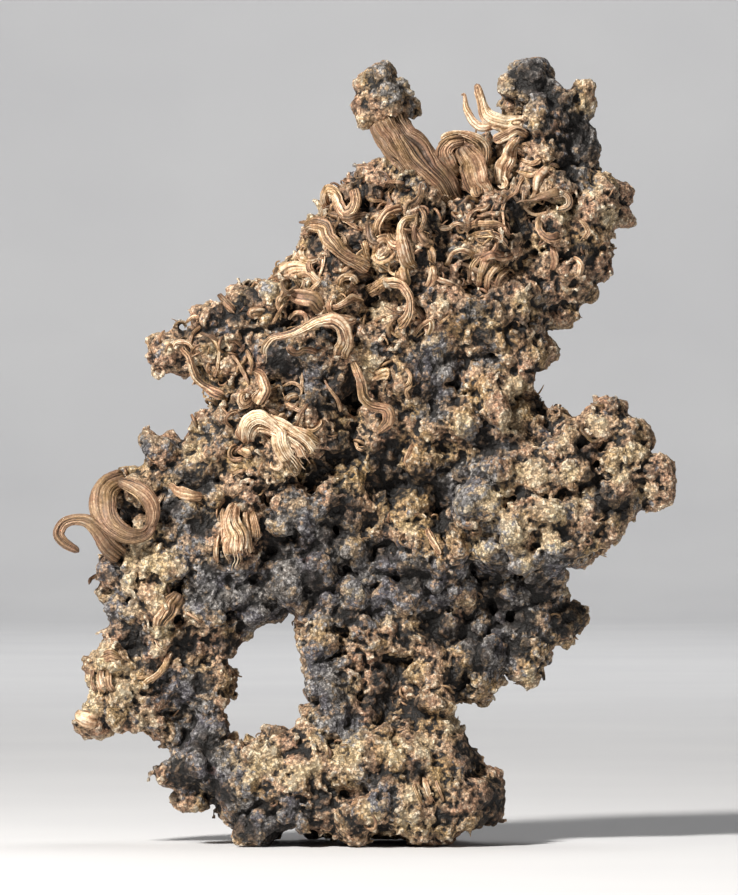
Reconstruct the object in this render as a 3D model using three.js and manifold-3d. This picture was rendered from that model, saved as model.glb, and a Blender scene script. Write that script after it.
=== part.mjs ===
// Native silver specimen: a spongy, lumpy mass of silver and silver sulphide that
// stands on its lower edge, with curled silver horns and wires grown from it.
// Millimetres, +Z up. The face that is looked at points to -Y, and the origin lies
// on the surface that the specimen stands on, under the middle of its box.
import * as THREE from 'three';
import { LoftGeometry } from 'three/addons/geometries/LoftGeometry.js';
import { SimplexNoise } from 'three/addons/math/SimplexNoise.js';
import { MarchingCubes } from 'three/addons/objects/MarchingCubes.js';
import { mergeVertices } from 'three/addons/utils/BufferGeometryUtils.js';
import Module from 'manifold-3d';

const wasm = await Module();
wasm.setup();

// ---------- driving dimensions ----------

const CELL = 3.6; // size of the facets on the mass
const GRID_CELLS = 44; // cells along each edge of the cube that the mass is shaped in
const GRID_MIDDLE = new THREE.Vector3(2, 0, 66.5);
const MOST_TRIANGLES = 30000; // room for the facets while the mass is shaped
const BOX_MIDDLE = new THREE.Vector3(-0.05, 2.4, 0); // brought to the origin
const LUMP_BLEND = 0.7; // how far neighbouring lumps melt into each other
const ROUGH_WAVE = 9; // width of the rounded swellings between two creases
const ROUGH_DEPTH = 1.5;
const CREASE_SHARE = 0.35; // how much of that depth lies below the lumps' own skin
const EDGE_MARGIN = 0.05; // least distance of a facet's corner from a grid point, in cells

const SPONGE_COLOUR = 0x9c8168;
const SILVER_COLOUR = 0xc8a585;

// ---------- small tools ----------

// Numbers from 0 to 1 that are the same on every run.
function seededRandom(seed) {
  let state = seed;
  return () => {
    state = (state * 1664525 + 1013904223) % 4294967296;
    return state / 4294967296;
  };
}

// A closed geometry as a manifold-3d solid.
function solid(geometry) {
  const bare = new THREE.BufferGeometry();
  bare.setAttribute('position', geometry.getAttribute('position'));
  bare.setIndex(geometry.index);
  const merged = mergeVertices(bare, 1e-4);
  return new wasm.Manifold(new wasm.Mesh({
    numProp: 3,
    vertProperties: merged.attributes.position.array,
    triVerts: new Uint32Array(merged.index.array),
  }));
}

// A manifold-3d solid as a flat-shaded geometry.
function geometryOf(made) {
  const mesh = made.getMesh();
  const geometry = new THREE.BufferGeometry();
  geometry.setAttribute('position', new THREE.BufferAttribute(mesh.vertProperties, 3));
  geometry.setIndex(new THREE.BufferAttribute(mesh.triVerts, 1));
  const flat = geometry.toNonIndexed();
  flat.computeVertexNormals();
  return flat;
}

// The one body that holds together: loose crumbs and sealed hollows are left out.
function largestBody(made) {
  const bodies = made.decompose();
  return bodies.reduce((best, body) => (body.volume() > best.volume() ? body : best));
}

// ---------- the spongy mass ----------

// Each row is x, z, radius, front, back.
const CROWN = [
  [27.6, 127.3, 3.4, -5, 5], [25.2, 125.6, 2.5, -6, 2], [30.0, 126.0, 2.8, -4, 5],
  [35.0, 124.0, 3.2, -5, 5], [37.4, 123.9, 2.2, -3, 4], [25.7, 122.3, 2.9, -7, 4],
  [29.5, 121.5, 3.7, -7, 6], [34.5, 119.5, 3.7, -6, 6], [37.2, 117.0, 2.7, -4, 5],
  [30.0, 115.5, 4.9, -9, 7], [36.5, 112.3, 4.0, -7, 7], [30.5, 110.0, 5.4, -10, 8],
  [41.0, 109.0, 2.6, -5, 4], [41.7, 105.2, 2.8, -6, 4], [37.5, 106.0, 4.6, -8, 7],
  [32.0, 103.5, 5.6, -9, 9], [38.4, 100.2, 3.1, -7, 5], [38.0, 96.6, 3.2, -6, 5],
  [37.8, 94.0, 2.3, -5, 4], [33.0, 97.3, 4.8, -8, 8], [32.8, 91.6, 3.8, -7, 7],
];

const UPPER_BODY = [
  [21.0, 112.0, 3.6, -4, 6], [18.5, 117.3, 1.9, -4, 2], [12.5, 108.3, 4.0, -8, 7],
  [3.4, 108.9, 3.5, -7, 6], [4.6, 111.9, 2.4, -6, 4], [-0.6, 108.9, 2.7, -6, 5],
  [7.5, 108.8, 4.0, -9, 7], [-3.6, 106.2, 3.6, -7, 6], [-7.8, 103.9, 1.6, -5, 2],
  [7.0, 99.6, 9.0, -12, 12], [21.0, 101.0, 8.0, -11, 12], [-2.6, 100.4, 7.0, -10, 10],
  [-8.4, 99.1, 3.2, -8, 6], [-11.8, 97.2, 2.1, -6, 4], [-5.6, 91.6, 8.0, -11, 12],
  [-13.8, 92.2, 4.1, -9, 7], [-20.1, 91.0, 2.9, -7, 5], [-23.2, 88.4, 2.5, -7, 4],
  [-16.5, 86.6, 5.0, -9, 8], [-27.3, 85.9, 2.4, -7, 3], [-23.3, 83.0, 4.2, -8, 6],
  [-33.0, 82.2, 2.7, -4, 3], [-30.0, 82.0, 3.2, -5, 4], [-28.6, 79.2, 2.6, -4, 3],
  [-22.0, 78.2, 4.2, -8, 6], [-17.5, 79.5, 4.6, -8, 8], [12.0, 88.0, 9.6, -12, 14],
  [24.5, 90.5, 6.4, -10, 11], [28.7, 84.8, 2.7, -5, 5], [29.0, 81.6, 2.6, -6, 4],
  [24.0, 82.0, 5.6, -10, 11], [27.0, 76.8, 2.9, -7, 5], [27.1, 73.3, 2.9, -7, 5],
];

const MIDDLE = [
  [0.5, 82.5, 7.6, -10, 14], [-9.5, 80.5, 6.4, -10, 11], [10.0, 76.0, 8.4, -11, 14],
  [21.0, 74.0, 6.6, -11, 11], [-8.5, 70.5, 6.2, -10, 11], [-17.5, 72.5, 5.0, -9, 8],
  [3.0, 67.5, 6.6, -7, 13], [9.5, 63.5, 5.2, -9, 12], [-14.0, 63.5, 6.0, -10, 10],
  [-3.5, 60.0, 6.0, -7, 12], [-3.6, 58.0, 3.4, -10, 4], [5.5, 53.5, 6.6, -7, 12],
  [12.0, 48.0, 5.2, -9, 10], [-11.0, 53.0, 5.6, -10, 10], [-2.0, 48.5, 6.0, -8, 12],
  [-12.5, 43.5, 5.4, -9, 9], [6.5, 42.0, 6.2, -7, 12], [-3.5, 39.5, 6.0, -8, 11],
  [14.5, 41.5, 4.2, -6, 10], [24.6, 68.4, 4.4, -9, 7], [16.4, 57.0, 4.6, -8, 9],
  [18.6, 66.6, 4.4, -8, 9], [15.0, 71.0, 4.0, -11, 6], [20.4, 88.0, 5.0, -12, 6],
];

const RIGHT_LOBE = [
  [39.8, 70.6, 3.5, -8, 1], [44.1, 67.5, 3.7, -9, 0], [35.8, 68.7, 3.6, -10, 1],
  [31.5, 67.0, 3.7, -11, 3], [46.2, 63.6, 3.7, -9, 0], [48.4, 60.4, 3.1, -8, 0],
  [48.8, 57.9, 3.0, -8, -1], [45.6, 57.5, 3.3, -9, 0], [41.2, 61.6, 4.7, -11, 1],
  [35.8, 62.5, 4.9, -12, 3], [29.8, 61.4, 4.9, -13, 5], [24.3, 61.0, 4.6, -13, 6],
  [19.5, 60.0, 4.0, -13, 4], [18.0, 55.3, 3.7, -15, 1], [22.6, 53.2, 4.7, -15, 4],
  [28.6, 54.0, 5.2, -15, 4], [34.6, 55.6, 4.7, -13, 3], [40.2, 55.2, 3.9, -11, 1],
  [41.0, 51.8, 2.7, -10, -1], [35.4, 50.2, 4.1, -12, 1], [29.5, 49.0, 4.1, -13, 3],
  [33.6, 47.4, 2.5, -11, 0], [24.0, 48.6, 3.5, -12, 4], [18.8, 50.0, 3.6, -11, 4],
];

const LOWER_RIGHT_LOBE = [
  [30.3, 41.4, 3.5, -1, 8], [33.0, 38.2, 3.6, -2, 8], [35.0, 38.4, 2.2, -1, 4],
  [31.7, 34.3, 3.6, -2, 8], [27.3, 38.0, 4.2, -3, 10], [27.4, 32.4, 3.7, -3, 9],
  [27.1, 28.7, 2.9, -2, 7], [22.0, 41.8, 4.2, -4, 11], [21.6, 35.2, 4.5, -4, 11],
  [20.6, 30.2, 3.7, -4, 9], [18.2, 26.7, 3.2, -4, 7], [16.5, 33.6, 3.7, -4, 9],
];

const LEFT_LIMB = [
  [-36.1, 67.6, 1.9, -4, 2], [-35.2, 65.0, 2.8, -5, 3], [-39.6, 62.6, 2.2, -4, 2],
  [-31.4, 64.8, 3.0, -5, 3], [-26.0, 69.7, 2.9, -5, 3], [-22.4, 71.2, 2.6, -6, 3],
  [-21.6, 66.2, 4.6, -8, 5], [-28.6, 62.6, 4.4, -7, 5], [-36.6, 60.5, 3.6, -5, 5],
  [-41.4, 59.4, 2.2, -4, 3], [-36.0, 55.6, 4.1, -4, 5], [-28.0, 55.4, 5.0, -8, 6],
  [-20.2, 57.0, 4.8, -8, 6], [-39.2, 49.2, 4.0, -7, 4], [-41.4, 45.0, 3.1, -7, 4],
  [-40.6, 41.2, 3.1, -7, 4], [-35.2, 44.6, 4.6, -9, 5], [-33.0, 50.6, 4.4, -8, 6],
  [-29.0, 46.6, 5.0, -9, 6], [-21.6, 49.0, 5.2, -9, 7], [-39.0, 38.0, 3.1, -6, 4],
  [-33.6, 38.4, 4.4, -8, 5], [-27.6, 40.0, 4.8, -8, 6], [-21.6, 42.2, 4.8, -7, 7],
  [-17.4, 40.0, 4.4, -7, 7], [-24.0, 36.0, 3.7, -6, 5], [-23.2, 32.9, 2.4, -5, 4],
  [-29.4, 33.6, 4.2, -7, 5], [-35.0, 32.0, 4.2, -7, 5], [-41.8, 30.9, 3.4, -8, 2],
  [-42.9, 26.9, 3.7, -9, 2], [-44.9, 21.9, 3.1, -9, 2], [-41.2, 22.2, 3.9, -9, 3],
  [-37.6, 26.2, 4.2, -8, 4], [-35.0, 21.9, 3.8, -8, 4], [-32.9, 20.6, 2.3, -7, 2],
  [-31.0, 27.0, 4.1, -7, 5], [-25.6, 28.6, 3.5, -6, 4], [-23.2, 27.4, 1.9, -5, 2],
  [-27.4, 24.0, 3.0, -6, 3], [-25.0, 23.0, 2.5, -7, 2], [-26.6, 19.2, 3.5, -7, 4],
  [-24.0, 18.6, 2.4, -6, 3],
];

const COLUMN = [
  [-7.0, 36.2, 4.6, -8, 7], [-7.2, 31.0, 3.6, -8, 6], [-6.2, 26.2, 3.3, -8, 6],
  [-5.8, 21.8, 3.6, -9, 7], [0.2, 33.5, 5.2, -6, 8], [-0.4, 27.0, 5.0, -6, 8],
  [0.5, 20.0, 6.0, -9, 10], [8.0, 33.6, 4.6, -5, 9], [7.4, 25.5, 4.4, -4, 9],
  [8.5, 19.5, 5.0, -7, 10], [11.3, 28.4, 3.2, -8, 5], [12.0, 23.6, 3.2, -9, 5],
  [13.0, 19.2, 2.8, -8, 5],
];

// The foot is three rows of lumps, so that the specimen stands by itself.
const FOOT_FRONT = [
  [-30.4, 13.1, 2.9, -9, -1], [-29.2, 11.5, 3.4, -9, 2], [-24.6, 13.2, 4.5, -11, 3],
  [-20.2, 8.9, 4.6, -13, 0], [-17.3, 4.1, 4.3, -13, -2], [-16.0, 13.3, 5.2, -12, 3],
  [-12.4, 7.3, 4.6, -14, 0], [-8.0, 12.9, 5.4, -13, 3], [-8.6, 6.3, 3.3, -13, -2],
  [-2.0, 6.1, 4.5, -15, -1], [-1.4, 2.4, 2.5, -13, -5], [0.0, 13.7, 6.2, -14, 4],
  [4.6, 7.3, 4.6, -15, -1], [8.2, 5.3, 4.0, -15, -3], [8.0, 13.7, 5.6, -13, 4],
  [11.2, 2.9, 3.9, -13, -2], [14.0, 8.7, 4.8, -13, 1], [15.6, 5.9, 2.9, -12, -2],
  [19.4, 9.1, 4.2, -11, 3], [21.6, 6.4, 3.0, -10, 0], [15.8, 14.1, 3.8, -10, 4],
  [16.5, 18.0, 1.8, -6, 0], [-12.6, 17.6, 3.0, -8, 3], [-19.0, 15.6, 2.5, -8, 2],
  [-10.2, 18.6, 2.6, -8, 4],
];

const FOOT_BACK = [
  [-22.0, 8.0, 5.6, -6, 9], [-13.0, 8.6, 6.4, -5, 12], [-3.0, 9.4, 7.2, -5, 13],
  [7.0, 9.2, 7.0, -5, 13], [15.0, 8.4, 5.8, -5, 11], [-17.5, 3.6, 4.6, 3, 13],
  [-7.5, 4.6, 4.8, 5, 15], [3.0, 5.0, 5.0, 5, 16], [11.5, 3.6, 4.6, 4, 14],
];

// Swellings that only the back shows.
const BACK = [
  [5.0, 93.0, 8.6, 4, 20], [15.0, 79.0, 8.0, 4, 19], [-5.0, 84.0, 5.8, 4, 16],
  [20.5, 99.0, 6.4, 4, 17], [1.5, 65.0, 7.0, 5, 18], [-10.0, 73.0, 5.0, 4, 15],
  [7.0, 48.0, 6.0, 5, 16], [25.0, 62.0, 5.2, 1, 12], [-26.0, 57.0, 5.4, 0, 11],
  [31.0, 108.0, 4.8, 2, 12], [-34.5, 42.0, 4.8, 0, 9.5], [-37.0, 27.0, 4.2, -1, 8],
  [38.0, 60.0, 4.6, -2, 6], [-4.0, 104.0, 4.6, 2, 13], [4.0, 30.0, 4.6, 3, 14],
];

// Hollows that go deep into the front: x, z, radius, front, back.
const PITS = [
  [-3.1, 76.4, 2.4, -14, -3], [12.6, 103.3, 2.2, -12, -2], [24.4, 104.8, 1.5, -12, -2],
  [1.6, 106.8, 1.4, -8, -1], [13.0, 55.6, 1.8, -14, -2], [15.9, 63.4, 1.1, -14, -5],
  [5.0, 58.0, 2.2, -10, -1], [37.0, 66.2, 1.7, -14, -6], [12.3, 35.4, 1.9, -10, -1],
  [5.0, 30.4, 2.0, -9, -2], [15.1, 29.2, 1.6, -8, 0], [-7.6, 62.2, 1.6, -11, -3],
  [21.4, 44.8, 1.6, -12, -5], [39.6, 57.2, 1.6, -14, -7], [-12.2, 87.6, 1.9, -11, -4],
  [-39.4, 56.2, 1.8, -8, -1],
];

const roughness = new SimplexNoise({ random: seededRandom(7) });
const SLAB = { width: 200, thickness: 20 }; // trims the standing points flat

// Distance from a point to a lump's skin, negative inside it.
function distanceToLump(point, [x, z, radius, front, back]) {
  const halfDepth = (back - front) / 2;
  const across = (point.x - x) / radius;
  const deep = (point.y - (front + back) / 2) / halfDepth;
  const up = (point.z - z) / radius;
  return (Math.hypot(across, deep, up) - 1) * Math.min(radius, halfDepth);
}

function distanceToLumps(point, lumps) {
  let sum = 0;
  for (const lump of lumps) {
    sum += Math.exp(-distanceToLump(point, lump) / LUMP_BLEND);
  }
  return -LUMP_BLEND * Math.log(sum + Number.MIN_VALUE);
}

// How solid the silver is at a point: positive inside, negative outside.
function silverAt(point, lumps) {
  const skin = distanceToLumps(point, lumps);
  const wave = roughness.noise3d(
    point.x / ROUGH_WAVE, point.y / ROUGH_WAVE, point.z / ROUGH_WAVE);
  const uneven = ROUGH_DEPTH * (Math.abs(wave) - CREASE_SHARE);
  const pits = distanceToLumps(point, PITS);
  const value = Math.min(uneven - skin, pits) / CELL;
  return Math.abs(value) < EDGE_MARGIN ? Math.sign(value || 1) * EDGE_MARGIN : value;
}

function makeMass() {
  const lumps = [
    ...CROWN, ...UPPER_BODY, ...MIDDLE, ...RIGHT_LOBE, ...LOWER_RIGHT_LOBE,
    ...LEFT_LIMB, ...COLUMN, ...FOOT_FRONT, ...FOOT_BACK, ...BACK,
  ];
  const surface = new MarchingCubes(
    GRID_CELLS, new THREE.MeshStandardMaterial(), false, false, MOST_TRIANGLES);
  surface.isolation = 0;
  const half = GRID_CELLS / 2;
  const point = new THREE.Vector3();
  for (let k = 0; k < GRID_CELLS; k += 1) {
    for (let j = 0; j < GRID_CELLS; j += 1) {
      for (let i = 0; i < GRID_CELLS; i += 1) {
        point.set(i - half, j - half, k - half).multiplyScalar(CELL).add(GRID_MIDDLE);
        surface.setCell(i, j, k, silverAt(point, lumps));
      }
    }
  }
  surface.update();
  const corners = surface.positionArray.slice(0, surface.count * 3);
  const skin = new THREE.BufferGeometry();
  skin.setAttribute('position', new THREE.BufferAttribute(corners, 3));
  skin.scale(half * CELL, half * CELL, half * CELL);
  skin.translate(GRID_MIDDLE.x, GRID_MIDDLE.y, GRID_MIDDLE.z);

  const slab = new THREE.BoxGeometry(SLAB.width, SLAB.width, SLAB.thickness);
  slab.translate(0, 0, -SLAB.thickness / 2);
  return largestBody(solid(skin).subtract(solid(slab)));
}

// ---------- the curled horns and wires ----------

// Each row is one point of a horn's middle line: x, y, z, and there its width and its
// thickness from front to back. The first point sits in the mass.
const HORNS = {
  broad_horn: [[
    [15.6, -3.5, 103.6, 5.0, 3.6], [13.4, -6.0, 107.6, 6.2, 4.0],
    [10.2, -7.0, 112.0, 7.0, 4.4], [6.8, -6.4, 116.4, 7.2, 4.6],
    [3.9, -5.6, 120.6, 6.8, 4.6], [2.8, -5.2, 123.2, 5.4, 4.2],
  ]],
  hook_horn: [[
    [19.6, -2.5, 112.0, 2.6, 2.2], [19.8, -4.0, 115.2, 2.4, 2.0],
    [18.4, -5.0, 117.2, 2.2, 1.8], [16.2, -5.6, 118.1, 1.9, 1.6],
    [14.0, -6.0, 117.8, 1.8, 1.5], [12.7, -6.4, 116.7, 1.5, 1.3],
    [12.5, -6.6, 115.8, 0.9, 0.8],
  ]],
  fork_wire: [[
    [27.5, -3.5, 120.2, 2.4, 2.0], [25.0, -5.6, 120.3, 2.0, 1.8],
    [22.4, -6.0, 120.7, 1.9, 1.6], [20.6, -6.0, 121.8, 1.8, 1.5],
    [19.9, -6.1, 123.6, 1.5, 1.4], [19.2, -6.2, 125.4, 1.3, 1.2],
    [18.7, -6.2, 126.3, 0.9, 0.9],
  ], [
    [21.2, -6.0, 121.1, 1.3, 1.2], [19.6, -6.3, 120.5, 1.5, 1.2],
    [18.2, -6.6, 121.4, 1.3, 1.2], [17.3, -6.8, 122.3, 1.2, 1.0],
    [17.1, -6.8, 123.4, 0.7, 0.7], [16.7, -6.9, 124.2, 0.6, 0.6],
    [16.1, -6.9, 123.8, 0.5, 0.5],
  ]],
  strut_wire: [[
    [27.0, -6.2, 117.2, 2.0, 1.6], [25.2, -8.2, 118.2, 1.9, 1.6],
    [22.4, -8.8, 116.8, 1.7, 1.5], [20.8, -8.8, 115.8, 1.3, 1.2],
  ]],
  drop_ribbon: [[
    [26.4, -4.4, 117.0, 1.8, 1.4], [24.2, -5.6, 114.4, 2.6, 1.6],
    [22.8, -5.6, 111.0, 2.8, 1.7], [23.4, -4.4, 108.0, 1.8, 1.4],
  ]],
  folded_sheet: [[
    [17.0, -7.8, 116.2, 3.4, 1.6], [17.6, -7.4, 113.2, 4.4, 1.8],
    [18.4, -6.4, 110.0, 4.2, 1.8], [19.4, -5.6, 107.0, 3.0, 1.6],
    [19.8, -4.0, 104.6, 2.0, 1.4],
  ]],
  crown_loop: [[
    [29.4, -6.8, 108.2, 1.0, 1.0], [32.0, -9.8, 108.3, 1.1, 1.1],
    [33.9, -9.8, 107.2, 1.2, 1.1], [33.8, -9.6, 105.9, 1.2, 1.1],
    [32.4, -9.4, 105.3, 1.1, 1.0], [31.0, -8.4, 105.7, 0.8, 0.8],
  ]],
  u_curl: [[
    [-5.8, -3.4, 104.8, 1.4, 1.4], [-7.2, -5.0, 107.4, 1.7, 1.5],
    [-6.7, -6.0, 109.3, 1.8, 1.5], [-5.2, -7.0, 108.7, 1.7, 1.5],
    [-4.2, -8.6, 106.8, 1.8, 1.5], [-3.1, -9.4, 105.3, 1.9, 1.6],
    [-1.7, -9.4, 105.6, 1.9, 1.6], [-1.1, -8.6, 107.4, 1.8, 1.5],
    [-1.7, -7.2, 109.2, 1.7, 1.4], [-2.4, -6.0, 109.8, 1.2, 1.1],
  ]],
  folded_horn: [[
    [-9.8, -5.0, 102.2, 1.6, 1.4], [-8.4, -8.8, 102.8, 2.4, 1.6],
    [-6.6, -10.6, 102.2, 2.6, 1.8], [-6.0, -11.4, 100.5, 2.4, 1.8],
    [-4.4, -11.8, 98.9, 2.6, 2.2], [-2.2, -11.2, 97.0, 2.7, 2.2],
    [-0.2, -10.2, 95.5, 2.8, 2.2], [1.7, -8.0, 94.7, 2.6, 1.8],
  ]],
  arch_curl: [[
    [2.6, -9.0, 100.2, 1.8, 1.5], [2.3, -11.4, 102.6, 1.8, 1.5],
    [3.2, -11.4, 104.3, 1.8, 1.5], [5.0, -10.6, 105.1, 1.7, 1.4],
    [6.6, -8.6, 105.3, 1.3, 1.2],
  ]],
  omega_wire: [[
    [7.8, -9.5, 95.0, 2.4, 1.8], [7.2, -12.8, 98.0, 2.4, 1.8],
    [6.4, -13.2, 100.6, 1.9, 1.6], [6.3, -13.0, 102.4, 1.6, 1.4],
    [7.3, -12.4, 103.6, 1.5, 1.4], [9.0, -11.6, 103.4, 1.5, 1.3],
    [9.2, -12.0, 101.8, 1.4, 1.2], [8.6, -12.4, 100.3, 1.1, 1.1],
    [10.0, -12.2, 99.9, 0.9, 0.9], [11.8, -11.0, 100.6, 0.8, 0.8],
  ]],
  c_hook: [[
    [0.8, -6.0, 91.4, 2.0, 1.8], [2.8, -9.2, 92.8, 2.0, 1.8],
    [4.8, -11.0, 92.9, 1.9, 1.7], [6.6, -12.2, 92.0, 1.8, 1.6],
    [7.6, -12.8, 90.2, 1.7, 1.5], [7.4, -12.6, 88.0, 1.7, 1.5],
    [6.2, -11.6, 86.4, 1.9, 1.5], [4.6, -9.4, 85.4, 1.9, 1.4],
  ]],
  long_wire: [[
    [-3.8, -7.6, 80.6, 3.0, 1.8], [-3.0, -10.8, 83.2, 2.6, 1.8],
    [-3.4, -12.2, 85.7, 2.4, 1.8], [-5.2, -13.0, 87.0, 2.2, 1.7],
    [-7.6, -13.0, 86.7, 1.9, 1.6], [-10.4, -12.8, 85.3, 1.8, 1.5],
    [-13.0, -12.4, 84.3, 1.6, 1.4], [-14.9, -12.0, 83.9, 1.5, 1.3],
    [-16.1, -11.4, 82.6, 1.3, 1.2], [-16.5, -10.2, 80.8, 1.2, 1.0],
    [-16.8, -8.4, 79.3, 0.9, 0.8],
  ]],
  cascade_ribbon: [[
    [-17.8, -7.0, 78.6, 1.4, 1.2], [-17.0, -9.6, 77.2, 2.0, 1.4],
    [-16.6, -10.4, 75.2, 2.2, 1.4], [-17.6, -10.0, 73.2, 2.4, 1.4],
    [-18.6, -8.2, 71.8, 2.2, 1.2],
  ]],
  tip_bow: [[
    [-30.6, -3.6, 82.8, 1.2, 1.1], [-29.0, -6.8, 81.0, 1.2, 1.1],
    [-28.3, -7.0, 78.8, 1.3, 1.2], [-27.2, -6.6, 76.6, 1.5, 1.3],
    [-25.2, -6.6, 75.3, 1.6, 1.3], [-23.4, -7.4, 74.7, 1.6, 1.3],
    [-21.8, -6.4, 73.6, 1.4, 1.2],
  ]],
  left_curl: [[
    [-39.6, -3.0, 61.0, 3.4, 1.6], [-42.4, -5.4, 59.8, 4.4, 1.7],
    [-43.7, -7.4, 57.4, 5.0, 1.7], [-43.1, -9.0, 54.8, 4.6, 1.7],
    [-41.1, -10.0, 52.6, 3.8, 1.7], [-38.6, -10.2, 51.3, 2.8, 1.6],
    [-36.3, -9.8, 51.7, 2.2, 1.5], [-35.4, -9.0, 53.4, 2.0, 1.4],
    [-36.6, -8.0, 54.6, 1.6, 1.2],
  ], [
    [-40.0, -5.6, 47.6, 3.8, 2.0], [-42.9, -8.4, 50.0, 3.2, 1.8],
    [-44.2, -9.4, 52.2, 2.8, 1.8], [-45.8, -9.2, 53.7, 2.2, 1.7],
    [-48.0, -8.4, 54.0, 1.7, 1.5], [-50.0, -8.0, 53.3, 1.7, 1.4],
    [-51.4, -8.2, 51.7, 1.5, 1.3], [-50.4, -8.6, 50.4, 1.2, 1.1],
    [-48.6, -8.8, 49.7, 1.1, 1.0], [-47.0, -8.8, 48.4, 0.7, 0.6],
  ]],
  fan_ribbons: [[
    [-18.4, -7.4, 70.4, 3.0, 1.8], [-16.4, -10.0, 68.6, 4.2, 2.0],
    [-14.4, -11.4, 65.6, 3.0, 1.9], [-12.7, -11.2, 63.1, 2.8, 1.8],
    [-11.2, -9.6, 61.0, 2.2, 1.4],
  ], [
    [-16.4, -10.0, 68.8, 3.0, 1.8], [-13.2, -11.0, 67.8, 3.2, 1.8],
    [-10.0, -10.8, 66.2, 3.6, 1.7], [-6.8, -8.6, 64.0, 3.8, 1.4],
  ]],
  centre_ribbon: [[
    [-1.8, -8.6, 80.4, 1.5, 1.3], [-0.8, -10.0, 77.8, 1.7, 1.4],
    [-0.3, -9.8, 75.2, 1.8, 1.4], [1.4, -9.2, 73.0, 1.8, 1.4],
    [3.8, -9.0, 72.2, 1.9, 1.5], [4.0, -8.8, 70.2, 2.0, 1.5],
    [2.8, -8.2, 68.9, 1.6, 1.3], [1.0, -6.2, 68.8, 1.2, 1.1],
  ]],
  lower_ribbon: [[
    [-21.0, -6.2, 57.0, 1.6, 1.4], [-21.6, -9.0, 54.4, 2.6, 1.8],
    [-21.2, -10.2, 51.4, 3.0, 2.0], [-20.8, -10.2, 48.4, 3.5, 1.8],
    [-21.4, -7.6, 45.8, 4.0, 1.6],
  ]],
  corner_blade: [[
    [-30.4, -6.4, 42.0, 2.8, 1.6], [-32.2, -9.0, 39.0, 3.6, 1.8],
    [-33.6, -9.2, 36.6, 2.8, 1.6], [-33.8, -7.4, 34.6, 1.3, 1.1],
  ]],
};
const HORN_SIDES = 6;
const SECTIONS_PER_POINT = 1.1; // cross-sections for each point of a route
const SEAT_GAP = 0.3; // clearance between a horn and the mass that holds it
const FACING = new THREE.Vector3(0, -1, 0);

// The spongy knob that has grown over the broad horn's end.
const HORN_KNOB = [
  [2.9, 127.2, 3.2, -9, -1], [0.0, 126.0, 2.4, -8, -2], [0.0, 122.8, 2.2, -8, -2],
  [3.4, 123.6, 3.4, -9.5, -1], [6.6, 125.8, 2.7, -8, -2], [7.0, 122.4, 2.3, -8.5, -2],
];
const KNOB_ROUGHNESS = 0.12; // share of a lump's radius

// A tapering closed body along a route, widened all round by the extra given.
function hornSolid(route, extra) {
  const path = new THREE.CatmullRomCurve3(
    route.map(([x, y, z]) => new THREE.Vector3(x, y, z)), false, 'centripetal');
  const spans = route.length - 1;
  const steps = Math.round(spans * SECTIONS_PER_POINT);
  const sections = [];
  for (let i = 0; i <= steps; i += 1) {
    const share = i / steps;
    const before = Math.min(Math.floor(share * spans), spans - 1);
    const part = share * spans - before;
    const [from, to] = [route[before], route[before + 1]];
    const width = THREE.MathUtils.lerp(from[3], to[3], part) / 2 + extra;
    const thickness = THREE.MathUtils.lerp(from[4], to[4], part) / 2 + extra;
    const along = path.getTangent(share);
    const side = new THREE.Vector3().crossVectors(along, FACING).normalize();
    const out = new THREE.Vector3().crossVectors(side, along).normalize();
    const middle = path.getPoint(share);
    if (i === 0) middle.addScaledVector(along, -extra);
    if (i === steps) middle.addScaledVector(along, extra);
    const ring = [];
    for (let k = 0; k < HORN_SIDES; k += 1) {
      const angle = (k / HORN_SIDES) * Math.PI * 2;
      ring.push(middle.clone()
        .addScaledVector(side, width * Math.cos(angle))
        .addScaledVector(out, -thickness * Math.sin(angle)));
    }
    sections.push(ring);
  }
  return solid(new LoftGeometry(sections, { capStart: true, capEnd: true }));
}

function joinedHorn(name, extra) {
  return wasm.Manifold.union(HORNS[name].map((route) => hornSolid(route, extra)));
}

// One rounded, uneven lump of the knob.
function knobLump([x, z, radius, front, back]) {
  const geometry = new THREE.IcosahedronGeometry(1, 1);
  const at = geometry.getAttribute('position');
  const point = new THREE.Vector3();
  for (let i = 0; i < at.count; i += 1) {
    point.fromBufferAttribute(at, i);
    const push = roughness.noise3d(point.x + x, point.y, point.z + z);
    point.multiplyScalar(1 + KNOB_ROUGHNESS * push);
    at.setXYZ(i, point.x, point.y, point.z);
  }
  geometry.scale(radius, (back - front) / 2, radius);
  geometry.translate(x, (front + back) / 2, z);
  return solid(geometry);
}

const specimen = new THREE.Group();
specimen.position.copy(BOX_MIDDLE).negate();

function addPiece(name, made, colour) {
  const material = new THREE.MeshStandardMaterial({
    color: colour, roughness: 0.55, metalness: 0.6, flatShading: true });
  const mesh = new THREE.Mesh(geometryOf(made), material);
  mesh.name = name;
  specimen.add(mesh);
}

const names = Object.keys(HORNS);
const sockets = wasm.Manifold.union(names.map((name) => joinedHorn(name, SEAT_GAP)));
addPiece('silver_mass', largestBody(makeMass().subtract(sockets)), SPONGE_COLOUR);
for (const name of names) {
  const horn = joinedHorn(name, 0);
  const knob = name === 'broad_horn' ? HORN_KNOB.map(knobLump) : [];
  addPiece(name, wasm.Manifold.union([horn, ...knob]), SILVER_COLOUR);
}

export default specimen;
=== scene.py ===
"""Native silver specimen: a spongy, knobbly mass of silver and silver sulphide with curled
horns, ribbons and wires of silver grown from it. Shapes are worked out in millimetres, and a
piece is brought to metres when it is finished."""

import math

import bmesh
import bpy
import numpy as np
from mathutils import Matrix, Vector
from mathutils.bvhtree import BVHTree


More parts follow.
